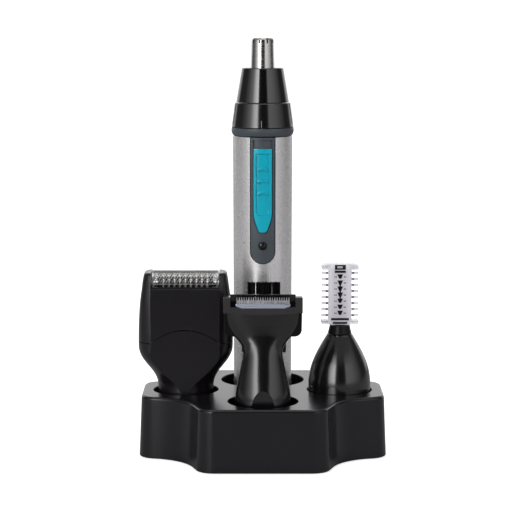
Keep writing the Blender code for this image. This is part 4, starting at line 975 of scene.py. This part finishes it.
def make_nose_head():
    node = "nose_base_ring"
    wide, bottom, top = half_width(node), low(node).z, high(node).z
    ring = turned(taper_profile(node, wide, wide - 1.4 * MM), HANDLE, 160)
    x, y = HANDLE
    for side in (-1, 1):
        for edge in (-3.7, 3.7):
            near, far = sorted((side * (wide - 2.1 * MM), side * (wide + MM)))
            lowest = (x + near, y + (edge - 0.45) * MM, bottom + 1.6 * MM)
            boolean(ring, block(lowest, (x + far, y + (edge + 0.45) * MM, top + MM)))
    done(ring, "nose_ring", GLOSS_RING, "nose_head", "black_plastic", node)

    mark_x = x - 0.55 * MM
    surface = y - math.sqrt(wide**2 - (0.55 * MM) ** 2)
    mark_z = (bottom + 0.25 * MM, bottom + 3.3 * MM)
    mark = centred(mark_x, 0.17 * MM, (surface - 0.04 * MM, surface + MM), mark_z)
    edit(mark)
    bpy.ops.mesh.select_all(action="DESELECT")
    shape = bmesh.from_edit_mesh(mark.data)
    for vert in shape.verts:
        vert.select = vert.co.z > bottom + 2 * MM
    shape.select_flush_mode()
    bmesh.update_edit_mesh(mark.data)
    bpy.ops.transform.translate(value=(0, 0.36 * MM, 0))
    deselect()
    round_edges(mark, 0.05 * MM, 2)
    done(mark, "nose_ring_mark", MARK, "nose_head", "black_plastic")

    bottom, top = low("nose_cone").z, high("nose_cone").z
    top += 0.5 * MM
    foot, crown = half_width("nose_cone") - 0.25 * MM, 9.1 * MM
    hole = 5.53 * MM
    profile = [(hole, top)] + arc((crown - 0.6 * MM, top - 0.6 * MM), 0.6 * MM, 90, 10, 6)
    profile += [(foot, bottom + 0.1 * MM), (foot - 0.1 * MM, bottom)]
    profile += [(foot - 1.4 * MM, bottom), (crown - 1.4 * MM, top - 1.3 * MM), (hole, top - 1.3 * MM)]
    cone = turned(profile, HANDLE, 160)
    done(cone, "nose_cone_shell", GLOSS_BLACK, "nose_head", "gloss_black_plastic", "nose_cone")

    top = high("nose_guard_tube").z
    flange = low("nose_guard_tube").z
    deck = high("nose_cone").z
    wide, tip, wall = 5.23 * MM, 4.88 * MM, 0.65 * MM
    profile = [(0, top), (tip - 1.5 * MM, top)]
    profile += arc((tip - 1.25 * MM, top - 1.25 * MM), 1.25 * MM, 80, 0, 8)
    profile += [(wide, deck + 0.9 * MM), (wide, flange + MM), (7.3 * MM, flange + MM), (7.3 * MM, flange)]
    profile += [(wide - wall, flange), (tip - wall, top - 1.7 * MM)]
    profile += [(tip - 1.3 * MM, top - 0.9 * MM), (0, top - 0.9 * MM)]
    tube = turned(profile, HANDLE, 144, closed=False)
    slots = 9
    for i in range(slots):
        turn = 2 * math.pi * (i + 0.35) / slots
        reach = Vector((math.cos(turn), math.sin(turn), 0))
        centre = Vector((x, y, top)) + reach * 4.1 * MM
        deselect()
        bpy.ops.mesh.primitive_cube_add(
            size=1, location=centre, rotation=(0, 0, turn), scale=(4 * MM, 0.7 * MM, 4.6 * MM)
        )
        cutter = bpy.context.object
        bpy.ops.object.transform_apply(location=True, rotation=True, scale=True)
        boolean(tube, round_edges(cutter, 0.3 * MM, 4, 80))
    done(tube, "nose_guard", POLISHED, "nose_head", "polished_steel", "nose_guard_tube")


# ---------------------------------------------------------------- foil shaver

FOIL_HALF_Y = 6.3 * MM


def shaver_levels():
    """The moulding's levels before its front and back are cut flat."""
    foot = low("shaver_lower_shell").z
    rows = [
        (0.0, 12.1, 12.0, 2.0),
        (10.5, 11.93, 11.9, 2.0),
        (14.5, 12.2, 12.1, 2.05),
        (17.1, 13.1, 12.9, 2.15),
        (19.8, 14.75, 13.8, 2.3),
        (22.4, 16.85, 14.0, 2.45),
        (25.0, 18.75, 13.8, 2.6),
        (27.7, 19.95, 13.0, 2.75),
        (30.3, 20.3, 12.2, 2.9),
        (38.2, 20.2, 11.0, 3.3),
        (48.7, 19.6, 9.9, 3.8),
        (58.7, 18.3, 8.9, 4.6),
        (61.1, 17.85, 8.4, 4.8),
        (61.7, 17.5, 8.1, 4.8),
        (62.0, 17.0, 7.6, 4.8),
    ]
    return oval_levels(foot, rows)


def seam(shift, far):
    """A cutter with the arched seam on one side and a level edge at the far height."""
    top_of_arch = high("shaver_lower_shell").z + 0.15 * MM
    wide, steps = 24 * MM, 48
    outline = []
    for i in range(steps + 1):
        x = -wide + 2 * wide * i / steps
        drop = 5.7 * MM * min(1.0, (x / (15 * MM)) ** 2)
        outline.append((x, top_of_arch - drop + shift))
    return slab(outline + [(wide, far), (-wide, far)], -20 * MM, 20 * MM, SHAVER)


def shaver_body(levels, inset):
    """The moulding's levels, cut to a flat front and back."""
    body = loft(levels, SHAVER)
    foot, top = 31.0 * MM, high("shaver_upper_shell").z
    for side in (-1, 1):
        start = Vector((SHAVER[0], SHAVER[1] + side * (11.5 * MM - inset), foot))
        end = Vector((SHAVER[0], SHAVER[1] + side * (7.75 * MM - inset), top))
        along = end - start
        slice_off(body, start, Vector((0, side * along.z, -side * along.y)).normalized())
    return body


def make_shaver():
    notch_floor, top = low("foil_frame").z - GAP, high("shaver_upper_shell").z
    ear = half_width("foil_frame") + GAP
    levels = shaver_levels()
    body = shaver_body(levels, 0.0)
    round_edges(body, 1.7 * MM, 6, 14)
    inside = [(height, [(0.87 * x, 0.87 * y) for x, y in points]) for height, points in levels[:44]]
    inside[0] = (levels[0][0] - MM, inside[0][1])
    boolean(body, shaver_body(inside, 1.5 * MM))
    x, y = SHAVER
    frame_low, frame_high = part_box("foil_frame")
    foil_foot = low("shaver_foil").z
    boolean(body, centred(x, ear, (frame_low.y - GAP, frame_high.y + GAP), (notch_floor, top + MM)))
    boolean(body, centred(x, ear, (y - 20 * MM, y + 20 * MM), (foil_foot + 0.6 * MM, top + MM)))
    pick(body)
    bpy.ops.object.duplicate()
    lower = bpy.context.object
    boolean(lower, seam(-0.2 * MM, top + 5 * MM))
    boolean(body, seam(0.2 * MM, 0.0))
    done(lower, "shaver_foot", SHAVER_BLACK, "shaver_head", "black_plastic", "shaver_lower_shell", angle=26)
    done(body, "shaver_case", SHAVER_BLACK, "shaver_head", "black_plastic", "shaver_upper_shell", angle=26)
    make_foil()


def make_foil():
    """The arched foil, pierced by rows of slanted oval holes, over a thin steel edge."""
    x, y = SHAVER
    bottom, top = low("shaver_foil").z + 0.65 * MM, high("shaver_foil").z
    half = half_width("shaver_foil")
    rise = top - bottom
    columns, rows = 23, 14
    pitch_x = 2 * (half - 0.3 * MM) / (columns + 0.5)
    arch = math.pi / 2 * (FOIL_HALF_Y + rise) - 1.0 * MM
    pitch_v = arch / rows
    deselect()
    bpy.ops.mesh.primitive_circle_add(vertices=12, radius=1.0, fill_type="NGON")
    cell = bpy.context.object
    bpy.ops.object.mode_set(mode="EDIT")
    bpy.ops.mesh.select_all(action="SELECT")
    bpy.ops.mesh.inset(thickness=0.3)
    bpy.ops.mesh.delete(type="FACE")
    deselect()
    shape = bmesh.new()
    shape.from_mesh(cell.data)
    outer = sorted(shape.verts, key=lambda v: -v.co.length)[:12]
    inner = [v for v in shape.verts if v not in outer]
    for vert in outer:
        angle = math.atan2(vert.co.y, vert.co.x)
        c, s = math.cos(angle), math.sin(angle)
        reach = 0.5 / max(abs(c), abs(s))
        vert.co = (c * reach * pitch_x, s * reach * pitch_v, 0)
    for vert in inner:
        angle = math.atan2(vert.co.y, vert.co.x)
        u, v = 0.32 * pitch_x * math.cos(angle), 0.43 * pitch_v * math.sin(angle)
        vert.co = (u + 0.35 * v, v, 0)
    shape.to_mesh(cell.data)
    shape.free()
    pick(cell)
    for count, step in (
        (columns, (pitch_x, 0, 0)),
        (2, (pitch_x / 2, pitch_v, 0)),
        (rows // 2, (0, 2 * pitch_v, 0)),
    ):
        bpy.ops.object.modifier_add(type="ARRAY")
        copies = cell.modifiers[-1]
        copies.count = count
        copies.use_relative_offset = False
        copies.use_constant_offset = True
        copies.constant_offset_displace = step
        copies.use_merge_vertices = True
        copies.merge_threshold = 0.00001
        apply_last(cell)
    start_x, start_v = (columns - 0.5) / 2 * pitch_x, (rows - 1) / 2 * pitch_v
    reach_v = math.pi / 2 * (FOIL_HALF_Y + rise) / 2
    shape = bmesh.new()
    shape.from_mesh(cell.data)
    for vert in shape.verts:
        u, v = vert.co.x - start_x, vert.co.y - start_v
        angle = v / reach_v * math.pi / 2
        vert.co = (
            x + u,
            y + (FOIL_HALF_Y - 0.15 * MM) * math.sin(angle),
            bottom + (rise - 0.15 * MM) * math.cos(angle),
        )
    shape.to_mesh(cell.data)
    shape.free()
    edit(cell)
    bpy.ops.mesh.select_all(action="SELECT")
    bpy.ops.mesh.remove_doubles(threshold=0.00001)
    bpy.ops.mesh.normals_make_consistent(inside=False)
    pick(cell)
    bpy.ops.object.modifier_add(type="SOLIDIFY")
    wall = cell.modifiers[-1]
    wall.thickness = 0.16 * MM
    wall.offset = 0.0
    apply_last(cell)
    edges = []
    for side in (-1, 1):
        face = y + side * (FOIL_HALF_Y - 0.1 * MM)
        lowest, highest = sorted((face - 0.2 * MM, face + 0.2 * MM))
        edges.append(block((x - half, lowest, bottom), (x + half, highest, bottom + 0.22 * MM)))
        end = x + side * (half - 0.4 * MM)
        points = [
            ((FOIL_HALF_Y - inset) * math.cos(a), (rise - inset) * math.sin(a))
            for inset, angles in ((0.0, range(0, 181, 10)), (0.4 * MM, range(180, -1, -10)))
            for a in map(math.radians, angles)
        ]
        strip = draw([(end - 0.4 * MM, y + p, bottom + q) for p, q in points], True)
        bpy.ops.mesh.edge_face_add()
        bpy.ops.mesh.extrude_region_move(TRANSFORM_OT_translate={"value": (0.8 * MM, 0, 0)})
        bpy.ops.mesh.select_all(action="SELECT")
        bpy.ops.mesh.normals_make_consistent(inside=False)
        deselect()
        edges.append(strip)
    foil = join([cell] + edges)
    done(foil, "pierced_foil", FOIL_STEEL, "shaver_head", "polished_steel", "shaver_foil")


# ---------------------------------------------------------------- precision head


def comb_outline(half, bottom, root, tip, teeth, taper):
    """A blade with narrowing teeth along its upper edge."""
    pitch = 2 * half / (2 * teeth - 1)
    outline = [(-half, bottom), (half, bottom)]
    for i in range(teeth):
        right = half - 2 * i * pitch
        outline += [
            (right, root), (right - taper, tip), (right - pitch + taper, tip), (right - pitch, root)
        ]
    return outline


def make_precision():
    axis = PRECISION
    x, y = axis
    foot = low("precision_body").z
    rows = [
        (0.0, 12.1, 12.1, 2.0),
        (11.0, 11.75, 11.2, 2.0),
        (14.4, 11.45, 10.7, 2.05),
        (18.7, 10.65, 9.8, 2.1),
        (23.0, 9.75, 8.8, 2.2),
        (27.2, 8.9, 7.8, 2.25),
        (31.0, 8.25, 6.9, 2.3),
        (34.0, 8.8, 6.1, 2.3),
        (36.6, 10.5, 5.5, 2.35),
        (38.6, 12.4, 5.1, 2.4),
        (41.0, 14.0, 4.9, 2.5),
        (43.5, 15.0, 4.75, 2.7),
        (48.4, 15.6, 4.6, 3.0),
    ]
    body = loft(oval_levels(foot, rows), axis)
    flat = Vector((x, y - 10.25 * MM, foot))
    slice_off(body, flat, Vector((0, -1, 0)))
    round_edges(body, 0.3 * MM, 3, 8)

    bottom, top = low("precision_blade_holder").z, high("precision_blade_holder").z
    half = half_width("precision_blade_holder")
    depth = high("precision_blade_holder").y - y
    step = top - 6.4 * MM
    corner = arc((half - 3.3 * MM, bottom + 3 * MM), 3 * MM, -90, -5, 10)
    outline = mirrored(corner + [(half - 0.15 * MM, step + 0.5 * MM)])
    wings = round_edges(slab(outline, -depth + 3.4 * MM, depth - 0.4 * MM, axis), 0.5 * MM, 4, 60)
    done(wings, "precision_wings", WING_BLACK, "precision_head", "black_plastic")
    upper = block(
        (x - half + 0.1 * MM, y - depth + 0.6 * MM, step + 0.1 * MM), (x + half - 0.1 * MM, y + depth, top)
    )
    holder = round_edges(upper, 0.3 * MM, 3, 30)
    pocket_floor, pocket_half = top - 4.1 * MM, half - 2.95 * MM
    hem = [(pocket_half, step + MM), (-pocket_half, step + MM)]
    for i in range(17):
        share = -1 + i / 8
        hem.append((share * pocket_half, step - (0.1 + 0.65 * (1 - share * share)) * MM))
    weld(holder, body)
    boolean(
        holder,
        block(
            (x - pocket_half, y - depth - MM, pocket_floor),
            (x + pocket_half, y + depth - 1.2 * MM, top + MM),
        ),
    )
    slope = [
        (x - half - MM, y - depth + 2.2 * MM, top + 0.01 * MM),
        (x - half - MM, y + depth + MM, top + 0.01 * MM),
    ]
    slope.append((x - half - MM, y + depth + MM, top - 0.75 * MM))
    wedge = draw(slope, True)
    bpy.ops.mesh.edge_face_add()
    bpy.ops.mesh.extrude_region_move(TRANSFORM_OT_translate={"value": (2 * half + 2 * MM, 0, 0)})
    bpy.ops.mesh.select_all(action="SELECT")
    bpy.ops.mesh.normals_make_consistent(inside=False)
    deselect()
    lean = block(
        (x - pocket_half - 0.2 * MM, y + depth - 1.2 * MM, pocket_floor - MM),
        (x + pocket_half + 0.2 * MM, y + depth + 2 * MM, top + MM),
    )
    boolean(wedge, lean)
    boolean(holder, wedge)
    round_edges(holder, 0.18 * MM, 2, 40)
    hem[0], hem[1] = (pocket_half, pocket_floor), (-pocket_half, pocket_floor)
    band = round_edges(slab(hem, -depth + 0.15 * MM, -depth + 0.9 * MM, axis), 0.12 * MM, 2, 40)
    done(band, "precision_hem", END_BLACK, "precision_head", "black_plastic")
    ends = []
    for side in (-1, 1):
        near, far = sorted((side * pocket_half, side * half))
        end = block((x + near, y - depth, step), (x + far, y - depth + 2.2 * MM, top))
        ends.append(round_edges(end, 0.15 * MM, 2, 30))
    done(join(ends), "precision_ends", END_BLACK, "precision_head", "black_plastic")
    done(
        holder,
        "precision_case",
        GLOSS_BODY,
        "precision_head",
        "gloss_black_plastic",
        "precision_body",
        "precision_blade_holder",
        angle=30,
    )

    fixed_low, fixed_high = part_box("precision_fixed_blade")
    wide = half_width("precision_fixed_blade")
    blade = comb_outline(wide, fixed_low.z, fixed_high.z - 1.3 * MM, fixed_high.z, 23, 0.1 * MM)
    fixed = slab(blade, fixed_low.y - y, fixed_high.y - y, axis)
    done(
        fixed,
        "precision_outer_blade",
        BLADE_STEEL,
        "precision_head",
        "polished_steel",
        "precision_fixed_blade",
    )
    moving_low, moving_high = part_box("precision_moving_blade")
    wide = half_width("precision_moving_blade")
    blade = comb_outline(wide, moving_low.z, moving_high.z - 0.9 * MM, moving_high.z, 21, 0.1 * MM)
    moving = slab(blade, moving_low.y - y, moving_high.y - y, axis)
    done(
        moving,
        "precision_inner_blade",
        BLADE_STEEL,
        "precision_blades",
        "polished_steel",
        "precision_moving_blade",
    )

    clamp_low, clamp_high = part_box("precision_blade_clamp")
    wide = half_width("precision_blade_clamp")
    plate = [
        (wide - 2.4 * MM, clamp_low.z),
        (wide - 0.6 * MM, clamp_low.z + 0.7 * MM),
        (wide, clamp_low.z + 1.0 * MM),
    ]
    plate += [(wide, clamp_high.z - 0.2 * MM), (wide - 0.2 * MM, clamp_high.z)]
    clamp = slab(mirrored(plate), clamp_low.y - y, clamp_high.y - y, axis)
    round_edges(clamp, 0.12 * MM, 2)
    done(clamp, "blade_clamp", CLAMP_STEEL, "precision_head", "polished_steel", "precision_blade_clamp")



# ---------------------------------------------------------------- eyebrow head


def side_comb(half, stem, bottom, root, top, teeth):
    """A tall blade with teeth along both sides above its stem."""
    pitch = (top - root) / (2 * teeth - 1)
    right = [(stem, bottom), (stem, root - MM)]
    for i in range(teeth):
        z = root + 2 * i * pitch
        right += [(half - 0.9 * MM, z - 0.1 * pitch), (half, z + 0.15 * pitch), (half, z + 0.85 * pitch)]
        right.append((half - 0.9 * MM, z + 1.1 * pitch))
    return mirrored(right)


def make_eyebrow():
    axis = EYEBROW
    x, y = axis
    bottom, top = low("eyebrow_body").z, high("eyebrow_body").z
    wide = half_width("eyebrow_body")
    stations = [(0.0, 0.0), (2.0, 0.0), (8.0, 0.0), (11.8, 0.0), (14.5, -0.1), (17.1, -0.4), (19.8, -0.9)]
    stations += [(22.4, -1.7), (25.0, -2.75), (27.7, -4.0), (30.3, -5.4), (32.9, -6.9), (34.8, -8.0)]
    stations = smooth_between(stations, 4)
    side = [(wide + change * MM, bottom + z * MM) for z, change in stations]
    wall = 1.5 * MM
    profile = list(reversed(side)) + [(wide - wall, bottom), (wide - wall, bottom + 11.8 * MM)]
    profile += [(wide - 0.9 * MM - wall, bottom + 18.3 * MM), (wide - 4.0 * MM - wall, bottom + 26.2 * MM)]
    profile += [(6.3 * MM - wall, bottom + 31.8 * MM), (3.6 * MM, bottom + 32.8 * MM), (3.6 * MM, top)]
    done(
        turned(profile, axis, 160),
        "eyebrow_bell",
        GLOSS_BELL,
        "eyebrow_head",
        "gloss_black_plastic",
        "eyebrow_body",
    )

    bottom, top = low("eyebrow_neck").z, high("eyebrow_neck").z
    profile = [(4.15 * MM, top), (4.3 * MM, top - 0.15 * MM), (4.62 * MM, top - 1.6 * MM)]
    profile += [(5.1 * MM, bottom + 0.2 * MM), (5.0 * MM, bottom), (3.2 * MM, bottom), (3.2 * MM, top)]
    neck = turned(profile, axis, 96)
    for turn in (-0.42, 0.42):
        reach = Vector((math.sin(turn), -math.cos(turn), 0))
        notch = bar(
            0.35 * MM,
            Vector((x, y, bottom)) + reach * 4.6 * MM,
            Vector((x, y, bottom)) + reach * 6 * MM,
            12,
        )
        boolean(neck, notch)
    done(neck, "eyebrow_collar", SATIN_BLACK, "eyebrow_head", "black_plastic", "eyebrow_neck")

    fixed_low, fixed_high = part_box("eyebrow_fixed_blade")
    root = high("eyebrow_neck").z + 3.0 * MM
    outline = side_comb(half_width("eyebrow_fixed_blade"), 2.2 * MM, fixed_low.z, root, fixed_high.z, 14)
    fixed = slab(outline, fixed_low.y - y, fixed_high.y - y, axis)
    front = fixed_low.y - 0.4 * MM
    weld(
        fixed,
        block(
            (x - 3.7 * MM, front, root - 1.6 * MM), (x + 3.7 * MM, fixed_high.y - 0.2 * MM, root - 0.6 * MM)
        ),
    )
    done(fixed, "eyebrow_outer_blade", DARK_STEEL, "eyebrow_head", "polished_steel", "eyebrow_fixed_blade")
    moving_low, moving_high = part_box("eyebrow_moving_blade")
    outline = side_comb(
        half_width("eyebrow_moving_blade"), 2.0 * MM, moving_low.z, root + 0.4 * MM, moving_high.z, 14
    )
    moving = slab(outline, moving_low.y - y, moving_high.y - y, axis)
    done(
        moving,
        "eyebrow_inner_blade",
        DARK_STEEL,
        "eyebrow_blades",
        "polished_steel",
        "eyebrow_moving_blade",
    )


def make_comb_guard():
    """The clear guard: a hollow column with slender teeth on both sides and small windows."""
    axis = EYEBROW
    x, y = axis
    bottom, top = low("comb_guard").z, high("comb_guard").z
    reach, column, deep = half_width("comb_guard"), 4.9 * MM, 3.4 * MM
    guard = block((x - column, y - deep, bottom), (x + column, y + deep, top - 0.2 * MM))
    round_edges(guard, 0.7 * MM, 4, 80)
    arch = [(reach - 0.5 * MM, top - 2.5 * MM), (reach, top - 1.9 * MM)]
    arch += arc((reach - 1.3 * MM, top - 1.55 * MM), 1.3 * MM, 0, 62, 6)
    arch += [(column, top - 0.12 * MM), (2.0 * MM, top)]
    cap = slab(mirrored(arch), -deep + 0.2 * MM, deep - 0.2 * MM, axis)
    weld(guard, round_edges(cap, 0.25 * MM, 3, 40))
    foot = [(reach - 0.4 * MM, bottom + 0.35 * MM), (reach, bottom + 0.8 * MM), (reach, bottom + 1.5 * MM)]
    foot += [(reach - 0.3 * MM, bottom + 1.9 * MM)]
    weld(guard, slab(mirrored(foot), -deep + 0.3 * MM, deep - 0.3 * MM, axis))
    teeth = 8
    for i in range(teeth):
        z = bottom + (3.4 + 2.62 * i + 0.45) * MM
        tooth = bar(0.8 * MM, (x, y, z), (x + reach, y, z), 16, 0.45 * MM)
        other = bar(0.8 * MM, (x, y, z), (x - reach, y, z), 16, 0.45 * MM)
        weld(guard, tooth)
        weld(guard, other)
    inner_x, inner_y = column - 1.0 * MM, deep - 1.0 * MM
    boolean(
        guard, block((x - inner_x, y - inner_y, bottom - MM), (x + inner_x, y + inner_y, top - 1.5 * MM))
    )
    for i in range(1, teeth):
        z = bottom + (2.62 * i + 1.75) * MM
        window = slab(
            [(-0.5 * MM, z), (0.5 * MM, z), (1.25 * MM, z + 1.95 * MM), (-1.25 * MM, z + 1.95 * MM)],
            -deep - MM,
            0,
            axis,
        )
        boolean(guard, window)
    link = block((x - 0.35 * MM, y - deep - MM, bottom + 10 * MM), (x + 0.35 * MM, y, bottom + 19 * MM))
    boolean(guard, link)
    done(guard, "clear_comb", CLEAR, "comb_guard", "clear_plastic", "comb_guard", angle=40)
    # Dark smoked bars, marks and dots set into the clear guard's face: painted shade of the guard's inner
    # edges, and painted dark spots where the blade teeth show through.
    face = y - deep
    edge_shade_marks = [
        block(
            (x - 2.35 * MM, face - 0.08 * MM, top - 2.4 * MM),
            (x + 2.35 * MM, face + 0.5 * MM, top - 0.3 * MM),
        ),
        block(
            (x - 2.4 * MM, face - 0.08 * MM, top - 3.75 * MM),
            (x + 2.4 * MM, face + 0.5 * MM, top - 2.75 * MM),
        ),
        block(
            (x - 3.85 * MM, face - 0.08 * MM, bottom + 2.1 * MM),
            (x + 3.85 * MM, face + 0.5 * MM, bottom + 3.1 * MM),
        ),
        block(
            (x - 3.1 * MM, face - 0.04 * MM, bottom + 0.5 * MM),
            (x + 3.1 * MM, face + 0.5 * MM, bottom + 1.4 * MM),
        ),
    ]
    for inset in edge_shade_marks:
        round_edges(inset, 0.06 * MM, 2)
    edge_shade_marks[0] = boolean(
        edge_shade_marks[0],
        block((x - 1.3 * MM, face - MM, top - 1.7 * MM), (x + 1.0 * MM, face + 0.1 * MM, top - 0.85 * MM)),
    )
    for i in range(teeth + 2):
        z = bottom + (2.62 * i + 1.3) * MM
        for side in (-1, 1):
            reach_out = x + side * 5.6 * MM
            mark = block(
                (reach_out - 0.4 * MM, y - 0.95 * MM, z - 0.35 * MM),
                (reach_out + 0.4 * MM, y - 0.4 * MM, z + 0.35 * MM),
            )
            edge_shade_marks.append(round_edges(mark, 0.1 * MM, 2))
    for i in range(1, teeth):
        z = bottom + (2.62 * i + 2.6) * MM
        for side in (-1, 1):
            for out, size in ((1.75, 0.22), (2.35, 0.16)):
                spot = x + side * out * MM
                dot = block(
                    (spot - size * MM, face - 0.06 * MM, z - 0.3 * MM),
                    (spot + size * MM, face + 0.3 * MM, z + 0.25 * MM),
                )
                edge_shade_marks.append(round_edges(dot, 0.05 * MM, 2))
    done(join(edge_shade_marks), "comb_painted_edge_shade", SMOKED, "comb_guard", "clear_plastic")


# ---------------------------------------------------------------- room, light and camera


FLOOR_GLOW = 0.75
CEILING = 0.3
STUDIO_PEAK = 4.8
# How bright the room is all round, from behind the object through the camera's side and back:
# a white backdrop, a tall softbox on the left, a gap at the camera, a dimmer softbox on the right.
STUDIO_BANDS = [
    (-180, 0.23),
    (-134, 0.23),
    (-122, 0.02),
    (-86, 0.03),
    (-66, 0.12),
    (-46, 0.3),
    (-32, 1.0),
    (-20, 1.3),
    (-17, 0.004),
    (21, 0.004),
    (23, 0.26),
    (50, 0.2),
    (95, 0.02),
    (122, 0.02),
    (134, 0.23),
    (180, 0.23),
]


def make_room():
    deselect()
    bpy.ops.mesh.primitive_plane_add(size=6.0, location=(0, 0, 0))
    floor = bpy.context.object
    floor.name = "pale_floor"
    mat, tree, shader = base_material("pale_floor", Specular_IOR_Level=0.2)
    noise = add_group(tree, GRAIN, Scale=300.0, Slow_Scale=4.0)
    tone = blend(
        tree, ramp(tree, noise.outputs["Slow"], 0.0, 1.0), (0.93, 0.93, 0.935), (0.96, 0.96, 0.962)
    )
    ray = tree.nodes.new("ShaderNodeLightPath")
    tree.links.new(
        blend(tree, ray.outputs["Is Camera Ray"], (0.48, 0.48, 0.49), tone), shader.inputs["Base Color"]
    )
    tree.links.new(ramp(tree, noise.outputs["Fine"], 0.75, 0.85), shader.inputs["Roughness"])
    shader.inputs["Emission Color"].default_value = (1.0, 1.0, 1.0, 1.0)
    glow = calculate(tree, "MULTIPLY", ray.outputs["Is Camera Ray"], FLOOR_GLOW)
    tree.links.new(glow, shader.inputs["Emission Strength"])
    floor.data.materials.append(mat)

    world = bpy.data.worlds.new("studio")
    bpy.context.scene.world = world
    world.use_nodes = True
    tree = world.node_tree
    back = tree.nodes["Background"]
    place = tree.nodes.new("ShaderNodeTexCoord")
    split = tree.nodes.new("ShaderNodeSeparateXYZ")
    tree.links.new(place.outputs["Generated"], split.inputs[0])
    away = calculate(tree, "MULTIPLY", split.outputs["Y"], -1.0)
    around = calculate(tree, "ARCTAN2", split.outputs["X"], away)
    turn = tree.nodes.new("ShaderNodeMapRange")
    turn.inputs["From Min"].default_value = -math.pi
    turn.inputs["From Max"].default_value = math.pi
    tree.links.new(around, turn.inputs["Value"])
    bands = tree.nodes.new("ShaderNodeValToRGB")
    steps = bands.color_ramp.elements
    while len(steps) < len(STUDIO_BANDS):
        steps.new(0.5)
    for step, (angle, level) in zip(steps, STUDIO_BANDS):
        step.position = (angle + 180) / 360
        step.color = (level, level, level, 1.0)
    tree.links.new(turn.outputs["Result"], bands.inputs["Fac"])
    panels = calculate(tree, "MULTIPLY", bands.outputs["Color"], STUDIO_PEAK)
    rise = tree.nodes.new("ShaderNodeMapRange")
    rise.interpolation_type = "SMOOTHSTEP"
    rise.inputs["From Min"].default_value = 0.45
    rise.inputs["From Max"].default_value = 0.68
    tree.links.new(split.outputs["Z"], rise.inputs["Value"])
    lower = calculate(tree, "SUBTRACT", 1.0, rise.outputs["Result"])
    ceiling = calculate(tree, "MULTIPLY", rise.outputs["Result"], CEILING)
    room = calculate(tree, "ADD", calculate(tree, "MULTIPLY", panels, lower), ceiling)
    ray = tree.nodes.new("ShaderNodeLightPath")
    strength = calculate(tree, "MAXIMUM", room, ray.outputs["Is Camera Ray"])
    tree.links.new(strength, back.inputs["Strength"])
    back.inputs["Color"].default_value = (1.0, 1.0, 1.0, 1.0)


def add_light(name, place, aim, width, height, power):
    """A soft rectangular light that faces a point."""
    lamp = bpy.data.lights.new(name, "AREA")
    lamp.shape = "RECTANGLE"
    lamp.size, lamp.size_y = width, height
    lamp.energy = power
    item = bpy.data.objects.new(name, lamp)
    item.location = place
    item.rotation_euler = (Vector(aim) - Vector(place)).to_track_quat("-Z", "Y").to_euler()
    bpy.context.scene.collection.objects.link(item)


def make_lights():
    add_light("top_softbox", (0.0, 0.1, 1.6), (0, 0, 0.05), 1.2, 1.2, 6)


def make_camera():
    camera = bpy.data.cameras.new("camera")
    camera.lens = 128.7
    camera.sensor_width = 36.0
    item = bpy.data.objects.new("camera", camera)
    item.location = (-0.0029, -0.7796, 0.1851)
    item.rotation_euler = (math.radians(90 - 7.33), 0, 0)
    bpy.context.scene.collection.objects.link(item)
    bpy.context.scene.camera = item
    bpy.context.scene.view_settings.view_transform = "Standard"


paint_frame()
make_stand()
make_brush()
make_sleeve()
make_panel()
make_switch()
make_collar()
make_rings()
make_nose_head()
make_shaver()
make_precision()
make_eyebrow()
make_comb_guard()
make_room()
make_lights()
make_camera()
deselect()
